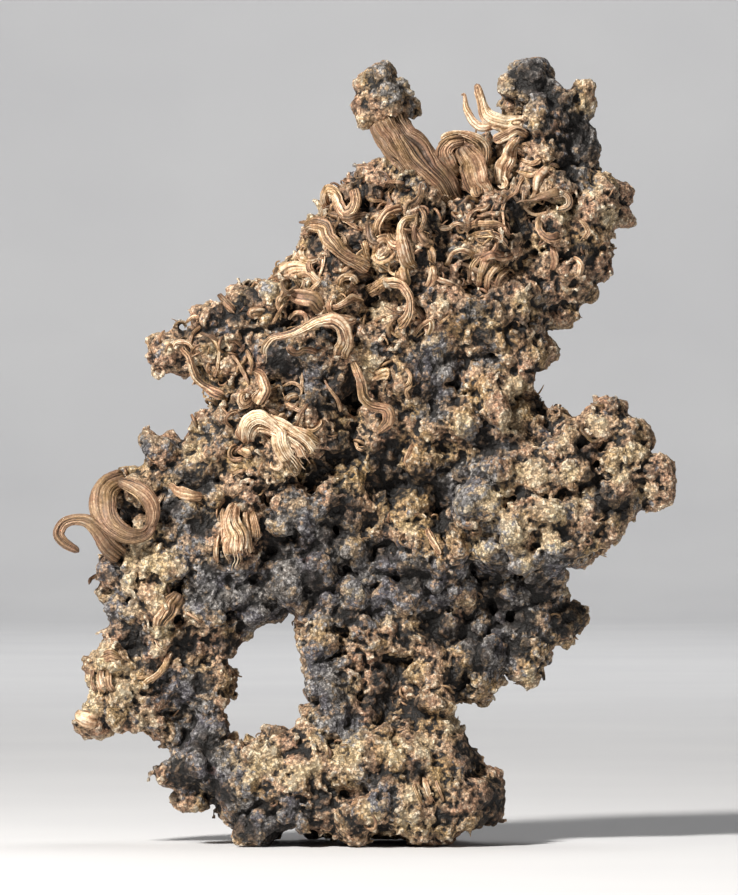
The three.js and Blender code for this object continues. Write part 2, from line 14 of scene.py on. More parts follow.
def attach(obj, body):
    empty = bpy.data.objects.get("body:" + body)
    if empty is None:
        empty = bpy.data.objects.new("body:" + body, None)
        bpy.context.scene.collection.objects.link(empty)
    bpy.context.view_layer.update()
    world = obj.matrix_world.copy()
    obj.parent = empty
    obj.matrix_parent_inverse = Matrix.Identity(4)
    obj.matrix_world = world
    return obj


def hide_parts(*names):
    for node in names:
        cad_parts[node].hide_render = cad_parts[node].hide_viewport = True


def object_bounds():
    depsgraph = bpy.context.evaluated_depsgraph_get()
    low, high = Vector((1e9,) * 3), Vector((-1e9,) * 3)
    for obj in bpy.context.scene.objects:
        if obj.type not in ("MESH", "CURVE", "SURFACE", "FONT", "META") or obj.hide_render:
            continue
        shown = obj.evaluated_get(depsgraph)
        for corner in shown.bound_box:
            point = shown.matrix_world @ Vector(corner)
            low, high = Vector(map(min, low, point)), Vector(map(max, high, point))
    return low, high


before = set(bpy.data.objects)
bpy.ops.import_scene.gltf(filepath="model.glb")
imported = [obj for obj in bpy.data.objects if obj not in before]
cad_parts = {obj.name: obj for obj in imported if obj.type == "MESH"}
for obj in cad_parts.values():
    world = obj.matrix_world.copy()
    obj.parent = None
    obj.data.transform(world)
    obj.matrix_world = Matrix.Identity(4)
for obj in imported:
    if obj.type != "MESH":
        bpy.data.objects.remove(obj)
cad_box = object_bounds()

MM = 0.001
PART_SHIFT = np.array((0.05, -2.4, 0.0))  # added to the lists' places to reach the part's frame
SPONGE_SLOT = "spongy_silver"
HORN_SLOT = "horn_silver"

# Where each set of random draws starts.
GROWTH_SEED = 11
KNOB_SEED = 12
TINY_CURL_SEED = 21
STRAND_SEED = 31
TANGLE_SEED = 41
FIRST_STRAND_HORN = 80
FIRST_TANGLE_HORN = 200


# ---------- tools for shapes ----------

NOISE_CELLS = 32
NOISE_TABLES = [
    np.random.default_rng(seed).random((NOISE_CELLS,) * 3) for seed in range(3)]


def soft_noise(points, size, table=0):
    """Smooth noise from 0 to 1 at each point, with swellings about one size wide."""
    scaled = np.asarray(points, dtype=np.float64) / size
    whole = np.floor(scaled).astype(np.int64)
    part = scaled - whole
    part = part * part * (3.0 - 2.0 * part)
    corners = [(whole % NOISE_CELLS, 1.0 - part), ((whole + 1) % NOISE_CELLS, part)]
    total = 0.0
    for x, share_x in corners:
        for y, share_y in corners:
            for z, share_z in corners:
                height = NOISE_TABLES[table][x[..., 0], y[..., 1], z[..., 2]]
                total = total + height * share_x[..., 0] * share_y[..., 1] * share_z[..., 2]
    return total


def eased(value, low, high):
    """0 at low, 1 at high and a smooth change between them, also where low is the greater."""
    share = np.clip((value - low) / (high - low), 0.0, 1.0)
    return share * share * (3.0 - 2.0 * share)


def read_rows(rows, name):
    flat = np.empty(len(rows) * 3, dtype=np.float32)
    rows.foreach_get(name, flat)
    return flat.reshape(-1, 3).astype(np.float64)


def read_points(mesh):
    return read_rows(mesh.vertices, "co")


def read_skin(mesh):
    """A mesh's points, and the direction that its skin faces at each of them."""
    return read_points(mesh), read_rows(mesh.vertex_normals, "vector")


def move_points(mesh, points):
    mesh.vertices.foreach_set("co", np.asarray(points, dtype=np.float32).ravel())
    mesh.update()


def add_values(mesh, name, values):
    layer = mesh.attributes.new(name, "FLOAT", "POINT")
    layer.data.foreach_set("value", np.asarray(values, dtype=np.float32))


def face_outwards(shape):
    bmesh.ops.recalc_face_normals(shape, faces=shape.faces)
    for face in shape.faces:
        face.smooth = True


def to_mesh(shape, name):
    mesh = bpy.data.meshes.new(name)
    shape.to_mesh(mesh)
    shape.free()
    return mesh


def hang_object(name, data):
    made = bpy.data.objects.new(name, data)
    bpy.context.scene.collection.objects.link(made)
    return made


def worked(mesh, set_up):
    """The mesh after the modifiers that set_up gives it."""
    helper = hang_object("helper", mesh)
    set_up(helper)
    graph = bpy.context.evaluated_depsgraph_get()
    made = bpy.data.meshes.new_from_object(helper.evaluated_get(graph))
    bpy.data.objects.remove(helper)
    return made


def fused(mesh, size):
    """One closed skin round everything in the mesh, in facets of that size."""
    def set_up(helper):
        remesh = helper.modifiers.new("fuse", "REMESH")
        remesh.mode = "VOXEL"
        remesh.voxel_size = size
    return worked(mesh, set_up)


def joined(meshes):
    shape = bmesh.new()
    for mesh in meshes:
        shape.from_mesh(mesh)
    return to_mesh(shape, "joined")


def geometry_tree(name):
    """A node tree for geometry, with the nodes where a mesh comes in and goes out."""
    tree = bpy.data.node_groups.new(name, "GeometryNodeTree")
    for way in ("INPUT", "OUTPUT"):
        tree.interface.new_socket("Geometry", in_out=way, socket_type="NodeSocketGeometry")
    return tree, tree.nodes.new("NodeGroupInput"), tree.nodes.new("NodeGroupOutput")


def worked_by(tree, mesh):
    """The mesh after a tree of geometry nodes."""
    def set_up(helper):
        helper.modifiers.new("work", "NODES").node_group = tree
    return worked(mesh, set_up)


def scatter_tree(pattern):
    """Sets the pattern's shape on each point, in the point's own size and turn."""
    tree, points, result = geometry_tree("scatter")
    source = tree.nodes.new("GeometryNodeObjectInfo")
    source.inputs["Object"].default_value = pattern
    copies = tree.nodes.new("GeometryNodeInstanceOnPoints")
    solid = tree.nodes.new("GeometryNodeRealizeInstances")
    for attribute, socket in (("size", "Scale"), ("turn", "Rotation")):
        reader = tree.nodes.new("GeometryNodeInputNamedAttribute")
        reader.data_type = "FLOAT_VECTOR"
        reader.inputs["Name"].default_value = attribute
        tree.links.new(reader.outputs["Attribute"], copies.inputs[socket])
    tree.links.new(points.outputs[0], copies.inputs["Points"])
    tree.links.new(source.outputs["Geometry"], copies.inputs["Instance"])
    tree.links.new(copies.outputs[0], solid.inputs[0])
    tree.links.new(solid.outputs[0], result.inputs[0])
    return tree


def scattered(pattern, spots, sizes, turns):
    """Copies of the pattern's shape on many spots, as one mesh."""
    seeds = bpy.data.meshes.new("spots")
    seeds.vertices.add(len(spots))
    move_points(seeds, spots)
    for name, rows in (("size", sizes), ("turn", turns)):
        layer = seeds.attributes.new(name, "FLOAT_VECTOR", "POINT")
        layer.data.foreach_set("vector", np.asarray(rows, dtype=np.float32).ravel())
    return worked_by(scatter_tree(pattern), seeds)


# ---------- shader tools ----------

class Value:
    """A number that varies over a surface. Sums and products of it add Math nodes."""

    def __init__(self, finish, socket):
        self.finish = finish
        self.socket = socket

    def _math(self, operation, first, second):
        return self.finish.node("ShaderNodeMath", {"operation": operation}, {0: first, 1: second})

    def __add__(self, other):
        return self._math("ADD", self, other)

    __radd__ = __add__

    def __sub__(self, other):
        return self._math("SUBTRACT", self, other)

    def __rsub__(self, other):
        return self._math("SUBTRACT", other, self)

    def __mul__(self, other):
        return self._math("MULTIPLY", self, other)

    __rmul__ = __mul__


class Finish:
    """A procedural material and the nodes in it."""

    def __init__(self, name):
        self.material = bpy.data.materials.new(name)
        self.material.use_nodes = True
        self.tree = self.material.node_tree
        self.tree.nodes.clear()

    def node(self, kind, settings=None, inputs=None, output=0):
        """Adds a node: its settings first, a ramp's stops among them, then its inputs."""
        made = self.tree.nodes.new(kind)
        for name, value in (settings or {}).items():
            if name == "stops":
                self._set_stops(made.color_ramp.elements, value)
            else:
                setattr(made, name, value)
        for socket, value in (inputs or {}).items():
            if isinstance(value, Value):
                self.tree.links.new(value.socket, made.inputs[socket])
            else:
                made.inputs[socket].default_value = value
        return None if output is None else Value(self, made.outputs[output])

    @staticmethod
    def _set_stops(elements, stops):
        while len(elements) < len(stops):
            elements.new(1.0)
        for element, (place, colour) in zip(elements, stops):
            element.position = place
            element.color = (*colour, 1.0)

    def attribute(self, name):
        return self.node("ShaderNodeAttribute", {"attribute_name": name}, output="Fac")

    def place(self, source, scale, shift=0.0):
        """Where the surface is, in object lengths or along its own UV map."""
        if source == "UV":
            point = self.node("ShaderNodeUVMap", {"uv_map": "UVMap"})
        else:
            point = self.node("ShaderNodeTexCoord", output="Object")
        return self.node("ShaderNodeMapping", {}, {
            "Vector": point, "Location": (shift, shift, shift), "Scale": scale})

    def noise(self, size, detail=3.0, roughness=0.55, shift=0.0):
        """Noise with swellings about one size wide, in millimetres."""
        return self.node("ShaderNodeTexNoise", {}, {
            "Vector": self.place("Object", (1.0 / (size * MM),) * 3, shift),
            "Scale": 1.0, "Detail": detail, "Roughness": roughness})

    def streaks(self, across, along):
        """Noise drawn out along a horn, in repeats round it and along it."""
        return self.node("ShaderNodeTexNoise", {}, {
            "Vector": self.place("UV", (across, along, 1.0)),
            "Scale": 1.0, "Detail": 3.0, "Roughness": 0.6})

    def cells(self, size, shift, output="Distance"):
        """Grains about one size wide: how far it is to a grain's middle, or its own colour."""
        return self.node("ShaderNodeTexVoronoi", {}, {
            "Vector": self.place("Object", (1.0 / (size * MM),) * 3, shift), "Scale": 1.0},
            output=output)

    def flecks(self, size, shift):
        """A random tone for each cell, as grains of different colours have."""
        return self.node("ShaderNodeSeparateColor", {}, {"Color": self.cells(size, shift, "Color")})

    def between(self, value, low, high, start=0.0, end=1.0):
        """Start below low, end above high, and a smooth change between them."""
        return self.node("ShaderNodeMapRange", {"interpolation_type": "SMOOTHSTEP"}, {
            "Value": value, "From Min": low, "From Max": high, "To Min": start, "To Max": end})

    def ramp(self, value, stops):
        return self.node("ShaderNodeValToRGB", {"stops": stops}, {"Fac": value})

    def mix(self, share, first, second):
        """Colour first where share is 0 and second where it is 1."""
        first, second = (
            colour if isinstance(colour, Value) else (*colour, 1.0) for colour in (first, second))
        return self.node("ShaderNodeMix", {"data_type": "RGBA"}, {
            0: share, 6: first, 7: second}, output=2)

    def layered(self, colour, *layers):
        """A colour with others laid over it in turn, each by its own share."""
        for share, other in layers:
            colour = self.mix(share, colour, other)
        return colour

    def surface(self, colour, roughness, height, depth, **constants):
        """Ends the material. The constants go on the shader's own sockets."""
        bump = self.node("ShaderNodeBump", {}, {
            "Strength": 1.0, "Distance": depth * MM, "Height": height})
        shader = self.node("ShaderNodeBsdfPrincipled", {}, {
            "Base Color": colour, "Roughness": roughness, "Normal": bump, **constants})
        self.node("ShaderNodeOutputMaterial", {}, {"Surface": shader}, output=None)
        return self.material


def linear(red, green, blue):
    """A colour of 0 to 255 a channel in the shader's linear numbers."""
    def channel(value):
        share = value / 255.0
        return share / 12.92 if share <= 0.04045 else ((share + 0.055) / 1.055) ** 2.4
    return channel(red), channel(green), channel(blue)


# ---------- finishes ----------

# Painted shade for crevices, gaps between grains and seams between ribs; in the sponge's crevices it
# also stands for dark sulphide.
CREVICE_SHADE = linear(16, 12, 9)
TAN_DARK = linear(86, 64, 46)
TAN = linear(188, 151, 117)
TAN_PALE = linear(250, 226, 192)
# Painted highlight on the lit tips of the sponge and the crests of the horns.
HIGHLIGHT_CREAM = linear(255, 241, 214)
PINK_TAN = linear(206, 155, 124)
YELLOW_TAN = linear(192, 160, 104)
OCHRE = linear(190, 154, 96)
SLATE_DARK = linear(38, 37, 38)
SLATE_VIOLET = linear(92, 88, 104)
SLATE = linear(104, 101, 101)
SLATE_PALE = linear(190, 186, 182)
GREY_TAN = linear(160, 144, 124)
# Dark brown for random mottling, and painted shade in the deep dark places.
MOTTLE_AND_SHADE_BROWN = linear(58, 44, 34)
STRAW = linear(236, 216, 172)
RUST = linear(112, 62, 44)
HORN_DARK = linear(74, 56, 42)
HORN_BROWN = linear(138, 103, 74)
HORN_TAN = linear(194, 158, 122)
HORN_PALE = linear(246, 221, 186)
HORN_TARNISH = linear(90, 70, 56)


def sponge_finish():
    """Warm tan silver with slate sulphide patches, crevices dark with sulphide and painted shade, and
    painted highlights on the tips.
    """
    make = Finish("spongy_silver")
    shade = make.attribute("shade")
    # Painted light and shade follow the relief: darker places get more painted shade, paler ones more
    # painted highlight.
    proud = make.attribute("proud") + shade * 0.17
    slate_share = make.attribute("slate")
    grain = make.noise(0.55, detail=4.0, roughness=0.65)
    mottle = make.noise(2.6, detail=3.0, roughness=0.6, shift=9.2)
    hue = make.noise(5.0, detail=2.0, shift=3.1)
    patch = make.noise(2.2, detail=4.0, roughness=0.65, shift=7.7)
    fleck = make.flecks(0.75, shift=5.0)
    gap = make.cells(0.75, shift=5.0)
    fine_gap = make.cells(0.36, shift=2.0)

    tone = grain + (mottle - 0.5) * 0.5 + (fleck - 0.5) * 0.16
    tint = make.ramp(hue, [(0.35, PINK_TAN), (0.5, TAN), (0.65, YELLOW_TAN)])
    is_ochre = make.between(make.attribute("ochre") + (patch - 0.5) * 0.8, 0.4, 0.65)
    # Painted highlight on the tips that stand proud.
    is_tip_highlight = make.between(proud + (grain - 0.5) * 0.7, 0.64, 0.98)
    is_straw = make.between(shade + (mottle - 0.5) * 0.8, 0.15, 0.9)
    is_dusty = make.between(slate_share + (mottle - 0.5) * 0.5, 0.25, 0.6)
    tan = make.layered(
        make.ramp(tone, [(0.32, TAN_DARK), (0.48, TAN), (0.66, TAN_PALE)]),
        (0.55, tint), (is_ochre * 0.5, OCHRE), (is_tip_highlight * 0.8, HIGHLIGHT_CREAM), (is_straw * 0.4, STRAW),
        (is_dusty * 0.55, GREY_TAN))

    # Painted highlight on the tips of the slate.
    is_slate_highlight = make.between(proud + (grain - 0.5) * 0.4, 0.6, 1.05)
    slate = make.layered(
        make.ramp(tone, [(0.33, SLATE_DARK), (0.5, SLATE), (0.7, SLATE_PALE)]),
        (is_slate_highlight * 0.6, SLATE_PALE), (make.between(hue, 0.45, 0.7) * 0.25, GREY_TAN),
        (make.between(hue, 0.55, 0.35) * 0.4, SLATE_VIOLET))

    is_slate = make.between(
        slate_share + (patch - 0.5) * 1.5 + (fleck - 0.5) * 0.5, 0.44, 0.6)
    is_rust = make.between(make.attribute("rust") + (grain - 0.5) * 1.2, 0.5, 0.8)
    # Random dark brown mottling, and painted shade in the deep dark places.
    is_brown_mottle_and_shade = make.between(mottle + shade * 0.4, 0.44, 0.2)
    # Painted shade in the gaps between grains and down in crevices, where dark sulphide also lies.
    is_gap_shade = make.between(gap * 0.5 + fine_gap * 0.5, 0.36, 0.58)
    is_deep_shade = make.between(proud + (grain - 0.5) * 0.3, 0.58, 0.32)
    colour = make.layered(
        tan, (is_slate, slate), (is_rust * 0.6, RUST), (is_brown_mottle_and_shade * 0.7, MOTTLE_AND_SHADE_BROWN),
        (is_gap_shade * 0.6, CREVICE_SHADE), (is_deep_shade, CREVICE_SHADE))
    height = grain * 0.6 - gap * 0.8 - fine_gap * 0.6
    return make.surface(
        colour, make.between(proud, 0.6, 1.1, 0.68, 0.45), height, 0.24, Metallic=0.08)


def horn_finish():
    """Pale tan silver in ribs of different tones, with painted shade between them, painted highlights
    on their crests, and darker where tarnished.
    """
    make = Finish("horn_silver")
    crest = make.attribute("crest")
    tone = make.attribute("tone")
    tarnish = make.attribute("tarnish")
    grain = make.noise(0.45, detail=4.0, roughness=0.65)
    blotch = make.noise(1.6, detail=4.0, roughness=0.65, shift=4.4)
    hue = make.noise(3.4, detail=2.0, shift=1.3)
    streak = make.streaks(26.0, 5.0)

    # Painted light and shade from the crest: darker in grooves, lighter on the ribs' tops, mixed with
    # each rib's tone and streaks.
    shade = (crest * 0.36 + tone * 0.3 + make.between(streak, 0.38, 0.6) * 0.34
             + (grain - 0.5) * 0.9 + (blotch - 0.5) * 0.8 - tarnish * 0.2 - 0.04)
    tint = make.ramp(hue, [(0.35, PINK_TAN), (0.5, HORN_TAN), (0.65, YELLOW_TAN)])
    # Painted highlight on the crests, broken up by streaks and blotches.
    is_crest_highlight = make.between(
        crest * 0.8 + (streak - 0.5) * 1.2 + (blotch - 0.5) * 2.0 - tarnish * 0.4, 0.62, 1.05)
    is_tarnished = make.between(tarnish + (blotch - 0.5) * 1.0, 0.2, 1.0)
    is_blotch = make.between(blotch + (grain - 0.5) * 0.4, 0.56, 0.68)
    # Painted shade in the seams between ribs.
    is_seam_shade = make.between(crest + (grain - 0.5) * 0.4, 0.4, 0.08)
    colour = make.layered(
        make.ramp(shade, [
            (0.24, HORN_DARK), (0.42, HORN_BROWN), (0.58, HORN_TAN), (0.76, HORN_PALE)]),
        (0.3, tint), (is_crest_highlight * 0.75, HIGHLIGHT_CREAM), (is_tarnished * 0.75, HORN_TARNISH),
        (is_blotch * 0.45, HORN_TARNISH), (is_seam_shade * 0.75, CREVICE_SHADE))
    height = streak * 0.7 + grain * 0.8
    return make.surface(
        colour, make.between(blotch, 0.3, 0.7, 0.38, 0.6), height, 0.16, Metallic=0.22)


# ---------- horns, ribbons and wires ----------

# Each route's rows are x, y, z, width, thickness.
HORNS = {
    "broad_horn": [[
        (15.6, -3.5, 103.6, 4.6, 3.2), (13.4, -6.0, 107.6, 6.0, 3.8),
        (9.8, -7.0, 112.0, 7.0, 4.2), (6.3, -6.4, 116.4, 7.1, 4.4),
        (3.6, -5.6, 120.6, 6.9, 4.4), (2.8, -5.2, 123.2, 5.8, 4.0)]],
    "hook_horn": [[
        (19.6, -2.5, 112.0, 2.6, 2.2), (19.8, -4.0, 115.2, 2.4, 2.0),
        (18.4, -5.0, 116.8, 2.2, 1.8), (16.2, -5.6, 117.5, 1.9, 1.6),
        (14.0, -6.0, 117.3, 1.8, 1.5), (12.7, -6.4, 116.4, 1.6, 1.4),
        (12.5, -6.6, 115.4, 1.1, 1.0)]],
    "fork_wire": [[
        (27.5, -3.5, 119.6, 2.8, 2.0), (25.0, -5.6, 119.4, 2.8, 1.9),
        (22.6, -6.0, 119.5, 2.9, 1.8), (20.6, -6.0, 120.6, 2.5, 1.6),
        (19.6, -6.1, 122.8, 1.6, 1.4), (18.8, -6.2, 125.0, 1.6, 1.3),
        (18.4, -6.2, 126.6, 1.2, 1.0)], [
        (21.8, -6.0, 119.6, 1.7, 1.3), (19.4, -6.3, 119.2, 1.8, 1.3),
        (17.8, -6.6, 120.4, 1.5, 1.2), (17.1, -6.8, 122.1, 1.2, 1.0),
        (16.9, -6.8, 123.4, 0.8, 0.7), (16.5, -6.9, 124.4, 0.6, 0.6),
        (15.8, -6.9, 123.9, 0.6, 0.5)]],
    "strut_wire": [[
        (27.0, -6.2, 117.2, 2.0, 1.6), (25.2, -8.2, 118.2, 1.9, 1.6),
        (22.4, -8.8, 116.8, 1.7, 1.5), (20.8, -8.8, 115.8, 1.3, 1.2)]],
    "drop_ribbon": [[
        (26.4, -4.4, 117.0, 1.8, 1.4), (24.2, -5.6, 114.4, 2.6, 1.6),
        (22.8, -5.6, 111.0, 2.8, 1.7), (23.4, -4.4, 108.0, 1.8, 1.4)]],
    "folded_sheet": [[
        (17.0, -7.8, 116.2, 3.4, 1.6), (17.6, -7.4, 113.2, 4.4, 1.8),
        (18.4, -6.4, 110.0, 4.2, 1.8), (19.4, -5.6, 107.0, 3.0, 1.6),
        (19.8, -4.0, 104.6, 2.0, 1.4)], [
        (16.6, -6.6, 116.9, 2.0, 1.4), (14.4, -6.8, 116.7, 2.4, 1.5),
        (13.1, -6.8, 115.0, 2.9, 1.6), (14.3, -6.2, 112.4, 3.6, 1.6),
        (15.8, -4.6, 109.6, 3.4, 1.4)], [
        (15.9, -5.4, 116.2, 1.8, 1.2), (15.6, -4.8, 114.0, 2.6, 1.3),
        (15.7, -4.4, 111.6, 2.8, 1.4), (16.2, -3.8, 109.0, 2.6, 1.4)]],
    "crown_loop": [[
        (29.4, -6.8, 108.2, 1.0, 1.0), (32.0, -9.8, 108.3, 1.1, 1.1),
        (33.9, -9.8, 107.2, 1.2, 1.1), (33.8, -9.6, 105.9, 1.2, 1.1),
        (32.4, -9.4, 105.3, 1.1, 1.0), (31.0, -8.4, 105.7, 0.8, 0.8)]],
    "u_curl": [[
        (-5.8, -3.4, 104.8, 1.4, 1.4), (-6.6, -5.0, 107.0, 1.7, 1.5),
        (-6.0, -6.0, 108.6, 1.8, 1.5), (-4.9, -7.0, 107.9, 1.7, 1.5),
        (-4.1, -8.6, 106.0, 1.8, 1.5), (-3.1, -9.4, 104.6, 1.9, 1.6),
        (-1.9, -9.4, 105.0, 1.9, 1.6), (-1.3, -8.6, 107.0, 1.8, 1.5),
        (-1.7, -7.2, 109.0, 1.7, 1.4), (-2.3, -6.0, 109.7, 1.2, 1.1)]],
    "folded_horn": [[
        (-9.8, -5.0, 102.2, 1.6, 1.4), (-8.4, -8.8, 102.8, 2.4, 1.6),
        (-6.6, -10.6, 102.2, 2.6, 1.8), (-6.0, -11.4, 100.5, 2.4, 1.8),
        (-4.4, -11.8, 98.9, 2.6, 2.2), (-2.2, -11.2, 97.0, 2.7, 2.2),
        (-0.2, -10.2, 95.5, 2.8, 2.2), (1.7, -8.0, 94.7, 2.6, 1.8)]],
    "arch_curl": [[
        (2.6, -9.0, 100.2, 1.8, 1.5), (2.3, -11.4, 102.6, 1.8, 1.5),
        (3.2, -11.4, 104.3, 1.8, 1.5), (5.0, -10.6, 105.1, 1.7, 1.4),
        (6.6, -8.6, 105.3, 1.3, 1.2)]],
    "omega_wire": [[
        (7.8, -9.5, 95.0, 2.4, 1.8), (7.2, -12.8, 98.0, 2.4, 1.8),
        (6.4, -13.2, 100.6, 1.9, 1.6), (6.3, -13.0, 102.4, 1.6, 1.4),
        (7.3, -12.4, 103.6, 1.5, 1.4), (9.0, -11.6, 103.4, 1.5, 1.3),
        (9.2, -12.0, 101.8, 1.4, 1.2), (8.6, -12.4, 100.3, 1.1, 1.1),
        (10.0, -12.2, 99.9, 0.9, 0.9), (11.8, -11.0, 100.6, 0.8, 0.8)]],
    "c_hook": [[
        (0.8, -6.0, 91.4, 2.0, 1.8), (2.8, -9.2, 92.8, 2.0, 1.8),
        (4.8, -11.0, 92.9, 1.9, 1.7), (6.6, -12.2, 92.0, 1.8, 1.6),
        (7.6, -12.8, 90.2, 1.7, 1.5), (7.4, -12.6, 88.0, 1.7, 1.5),
        (6.2, -11.6, 86.4, 1.9, 1.5), (4.6, -9.4, 85.4, 1.9, 1.4)]],
    "long_wire": [[
        (-3.8, -7.6, 80.6, 3.0, 1.8), (-3.0, -10.8, 83.2, 2.6, 1.8),
        (-3.4, -12.2, 85.7, 2.4, 1.8), (-5.2, -13.0, 87.0, 2.2, 1.7),
        (-7.6, -13.0, 86.7, 1.9, 1.6), (-10.4, -12.8, 85.3, 1.8, 1.5),
        (-13.0, -12.4, 84.3, 1.6, 1.4), (-14.9, -12.0, 83.9, 1.5, 1.3),
        (-16.1, -11.4, 82.6, 1.3, 1.2), (-16.5, -10.2, 80.8, 1.2, 1.0),
        (-16.8, -8.4, 79.3, 0.9, 0.8)]],
    "cascade_ribbon": [[
        (-17.8, -7.0, 78.6, 1.4, 1.2), (-17.0, -9.6, 77.2, 2.0, 1.4),
        (-16.6, -10.4, 75.2, 2.2, 1.4), (-17.6, -10.0, 73.2, 2.4, 1.4),
        (-18.6, -8.2, 71.8, 2.2, 1.2)]],
    "tip_bow": [[
        (-30.6, -3.6, 82.8, 1.2, 1.1), (-29.0, -6.8, 81.0, 1.2, 1.1),
        (-28.3, -7.0, 78.8, 1.3, 1.2), (-27.2, -6.6, 76.6, 1.5, 1.3),
        (-25.2, -6.6, 75.3, 1.6, 1.3), (-23.4, -7.4, 74.7, 1.6, 1.3),
        (-21.8, -6.4, 73.6, 1.4, 1.2)]],
    "left_curl": [[
        (-39.4, -3.0, 61.0, 3.2, 1.6), (-42.0, -5.4, 59.8, 4.0, 1.7),
        (-43.2, -7.4, 57.4, 4.5, 1.7), (-42.7, -9.0, 54.8, 4.2, 1.7),
        (-40.9, -10.0, 52.6, 3.5, 1.7), (-38.4, -10.2, 51.3, 2.7, 1.6),
        (-36.1, -9.8, 51.7, 2.1, 1.5), (-35.2, -9.0, 53.4, 1.9, 1.4),
        (-36.4, -8.0, 54.6, 1.6, 1.2)], [
        (-40.0, -5.6, 47.6, 3.8, 2.0), (-42.5, -8.4, 50.0, 3.2, 1.8),
        (-43.8, -9.4, 52.2, 2.6, 1.8), (-45.5, -9.2, 53.7, 2.1, 1.7),
        (-47.7, -8.4, 54.0, 1.8, 1.5), (-49.6, -8.0, 53.3, 1.8, 1.4),
        (-50.4, -8.2, 51.6, 1.9, 1.4), (-49.6, -8.6, 50.4, 1.8, 1.2),
        (-48.5, -8.8, 49.7, 1.7, 1.1), (-47.5, -8.8, 49.1, 1.3, 0.9),
        (-46.6, -8.8, 48.1, 0.7, 0.6)], [
        (-40.8, -7.4, 60.4, 1.6, 1.1), (-38.6, -8.8, 59.6, 2.4, 1.2),
        (-36.4, -9.6, 58.2, 2.9, 1.3), (-35.0, -9.8, 56.0, 2.7, 1.3),
        (-35.0, -9.6, 53.8, 2.0, 1.2), (-36.0, -9.0, 52.4, 1.2, 1.0)]],
    "fan_ribbons": [[
        (-19.6, -6.6, 66.6, 2.4, 1.4), (-19.2, -8.6, 69.0, 3.0, 1.8),
        (-17.0, -10.0, 70.4, 3.4, 1.9), (-15.0, -10.8, 68.8, 3.2, 1.9),
        (-13.2, -11.4, 66.0, 2.7, 1.9), (-11.5, -11.0, 62.8, 2.8, 1.8),
        (-9.9, -9.4, 60.2, 2.2, 1.4)], [
        (-16.0, -9.8, 70.0, 2.6, 1.6), (-13.2, -11.0, 68.4, 3.0, 1.8),
        (-10.2, -10.8, 66.2, 3.4, 1.7), (-7.4, -8.6, 63.4, 3.6, 1.4)]],
    "centre_ribbon": [[
        (-1.8, -8.6, 80.4, 1.5, 1.3), (-0.8, -10.0, 77.8, 1.7, 1.4),
        (-0.3, -9.8, 75.2, 1.8, 1.4), (1.4, -9.2, 73.0, 1.8, 1.4),
        (3.8, -9.0, 72.2, 1.9, 1.5), (4.0, -8.8, 70.2, 2.0, 1.5),
        (2.8, -8.2, 68.9, 1.6, 1.3), (1.0, -6.2, 68.8, 1.2, 1.1)]],
    "lower_ribbon": [[
        (-21.0, -6.2, 57.0, 1.6, 1.4), (-21.6, -9.0, 54.4, 2.6, 1.8),
        (-21.2, -10.2, 51.4, 3.0, 2.0), (-20.8, -10.2, 48.4, 3.5, 1.8),
        (-21.4, -7.6, 45.8, 4.0, 1.6)]],
    "corner_blade": [[
        (-30.4, -6.4, 42.0, 2.8, 1.6), (-32.2, -9.0, 39.0, 3.6, 1.8),
        (-33.6, -9.2, 36.6, 2.8, 1.6), (-33.8, -7.4, 34.6, 1.3, 1.1)]],
}

FACING = np.array((0.0, -1.0, 0.0))
HORN_STEP = 0.28  # between rings along a horn
FIBRE_STEP = 0.5
FIBRE_SIDES = 5
RIB_COLUMNS = np.array((0.0, 0.8, 1.0, 0.8))  # how high a rib stands from one edge to the next
RIB_START, MOST_FIBRE = 0.02, 0.97  # the shares of a horn's length that its ribs go between
SIDE_CARRY = 0.15  # how much a horn's sideways direction keeps of the one before
SWAY_LENGTH = 2.4  # how long a horn's sways and a rib's swellings are
CREASE_LENGTH, CREASE_WIDTH = 7.0, 1.3
DRIFT, DRIFT_LENGTH = 0.12, 4.5  # how far ribs wander round a horn, and over what length
HORN_ROUGH, HORN_ROUGH_SIZE = 0.16, 0.6
LEAST_RIB = 0.5  # the narrowest rib's width, where the widest one's is 1 more
LEAST_HALF = 0.12  # half the thickness of the thinnest horn
ROUNDED_END = 0.9  # the length over which a horn's ends round off
DARK_ROOT = 2.0  # the length over which a horn's ends are darkened
EDGE_TURNS = 97  # turns at which the way round a horn is measured


def smooth_route(rows, step):
    """Rows of a route about one step apart, on a smooth line through the given rows."""
    rows = np.asarray(rows, dtype=float)
    padded = np.vstack((2 * rows[0] - rows[1], rows, 2 * rows[-1] - rows[-2]))
    gaps = np.sqrt(np.linalg.norm(np.diff(padded[:, :3], axis=0), axis=1))
    made = []
    for i in range(len(rows) - 1):
        before, start, end, after = padded[i:i + 4]
        gap_a, gap_b, gap_c = gaps[i:i + 3]
        leave = gap_b * (
            (start - before) / gap_a - (end - before) / (gap_a + gap_b) + (end - start) / gap_b)
        arrive = gap_b * (
            (end - start) / gap_b - (after - start) / (gap_b + gap_c) + (after - end) / gap_c)
        pieces = max(2, round(np.linalg.norm((end - start)[:3]) / step))
        t = np.linspace(0.0, 1.0, pieces, endpoint=False)[:, None]
        made.append(
            (2 * t**3 - 3 * t**2 + 1) * start + (t**3 - 2 * t**2 + t) * leave
            + (3 * t**2 - 2 * t**3) * end + (t**3 - t**2) * arrive)
    made.append(rows[-1:])
    return np.vstack(made)


def unit(vectors):
    return vectors / np.maximum(np.linalg.norm(vectors, axis=-1, keepdims=True), 1e-9)


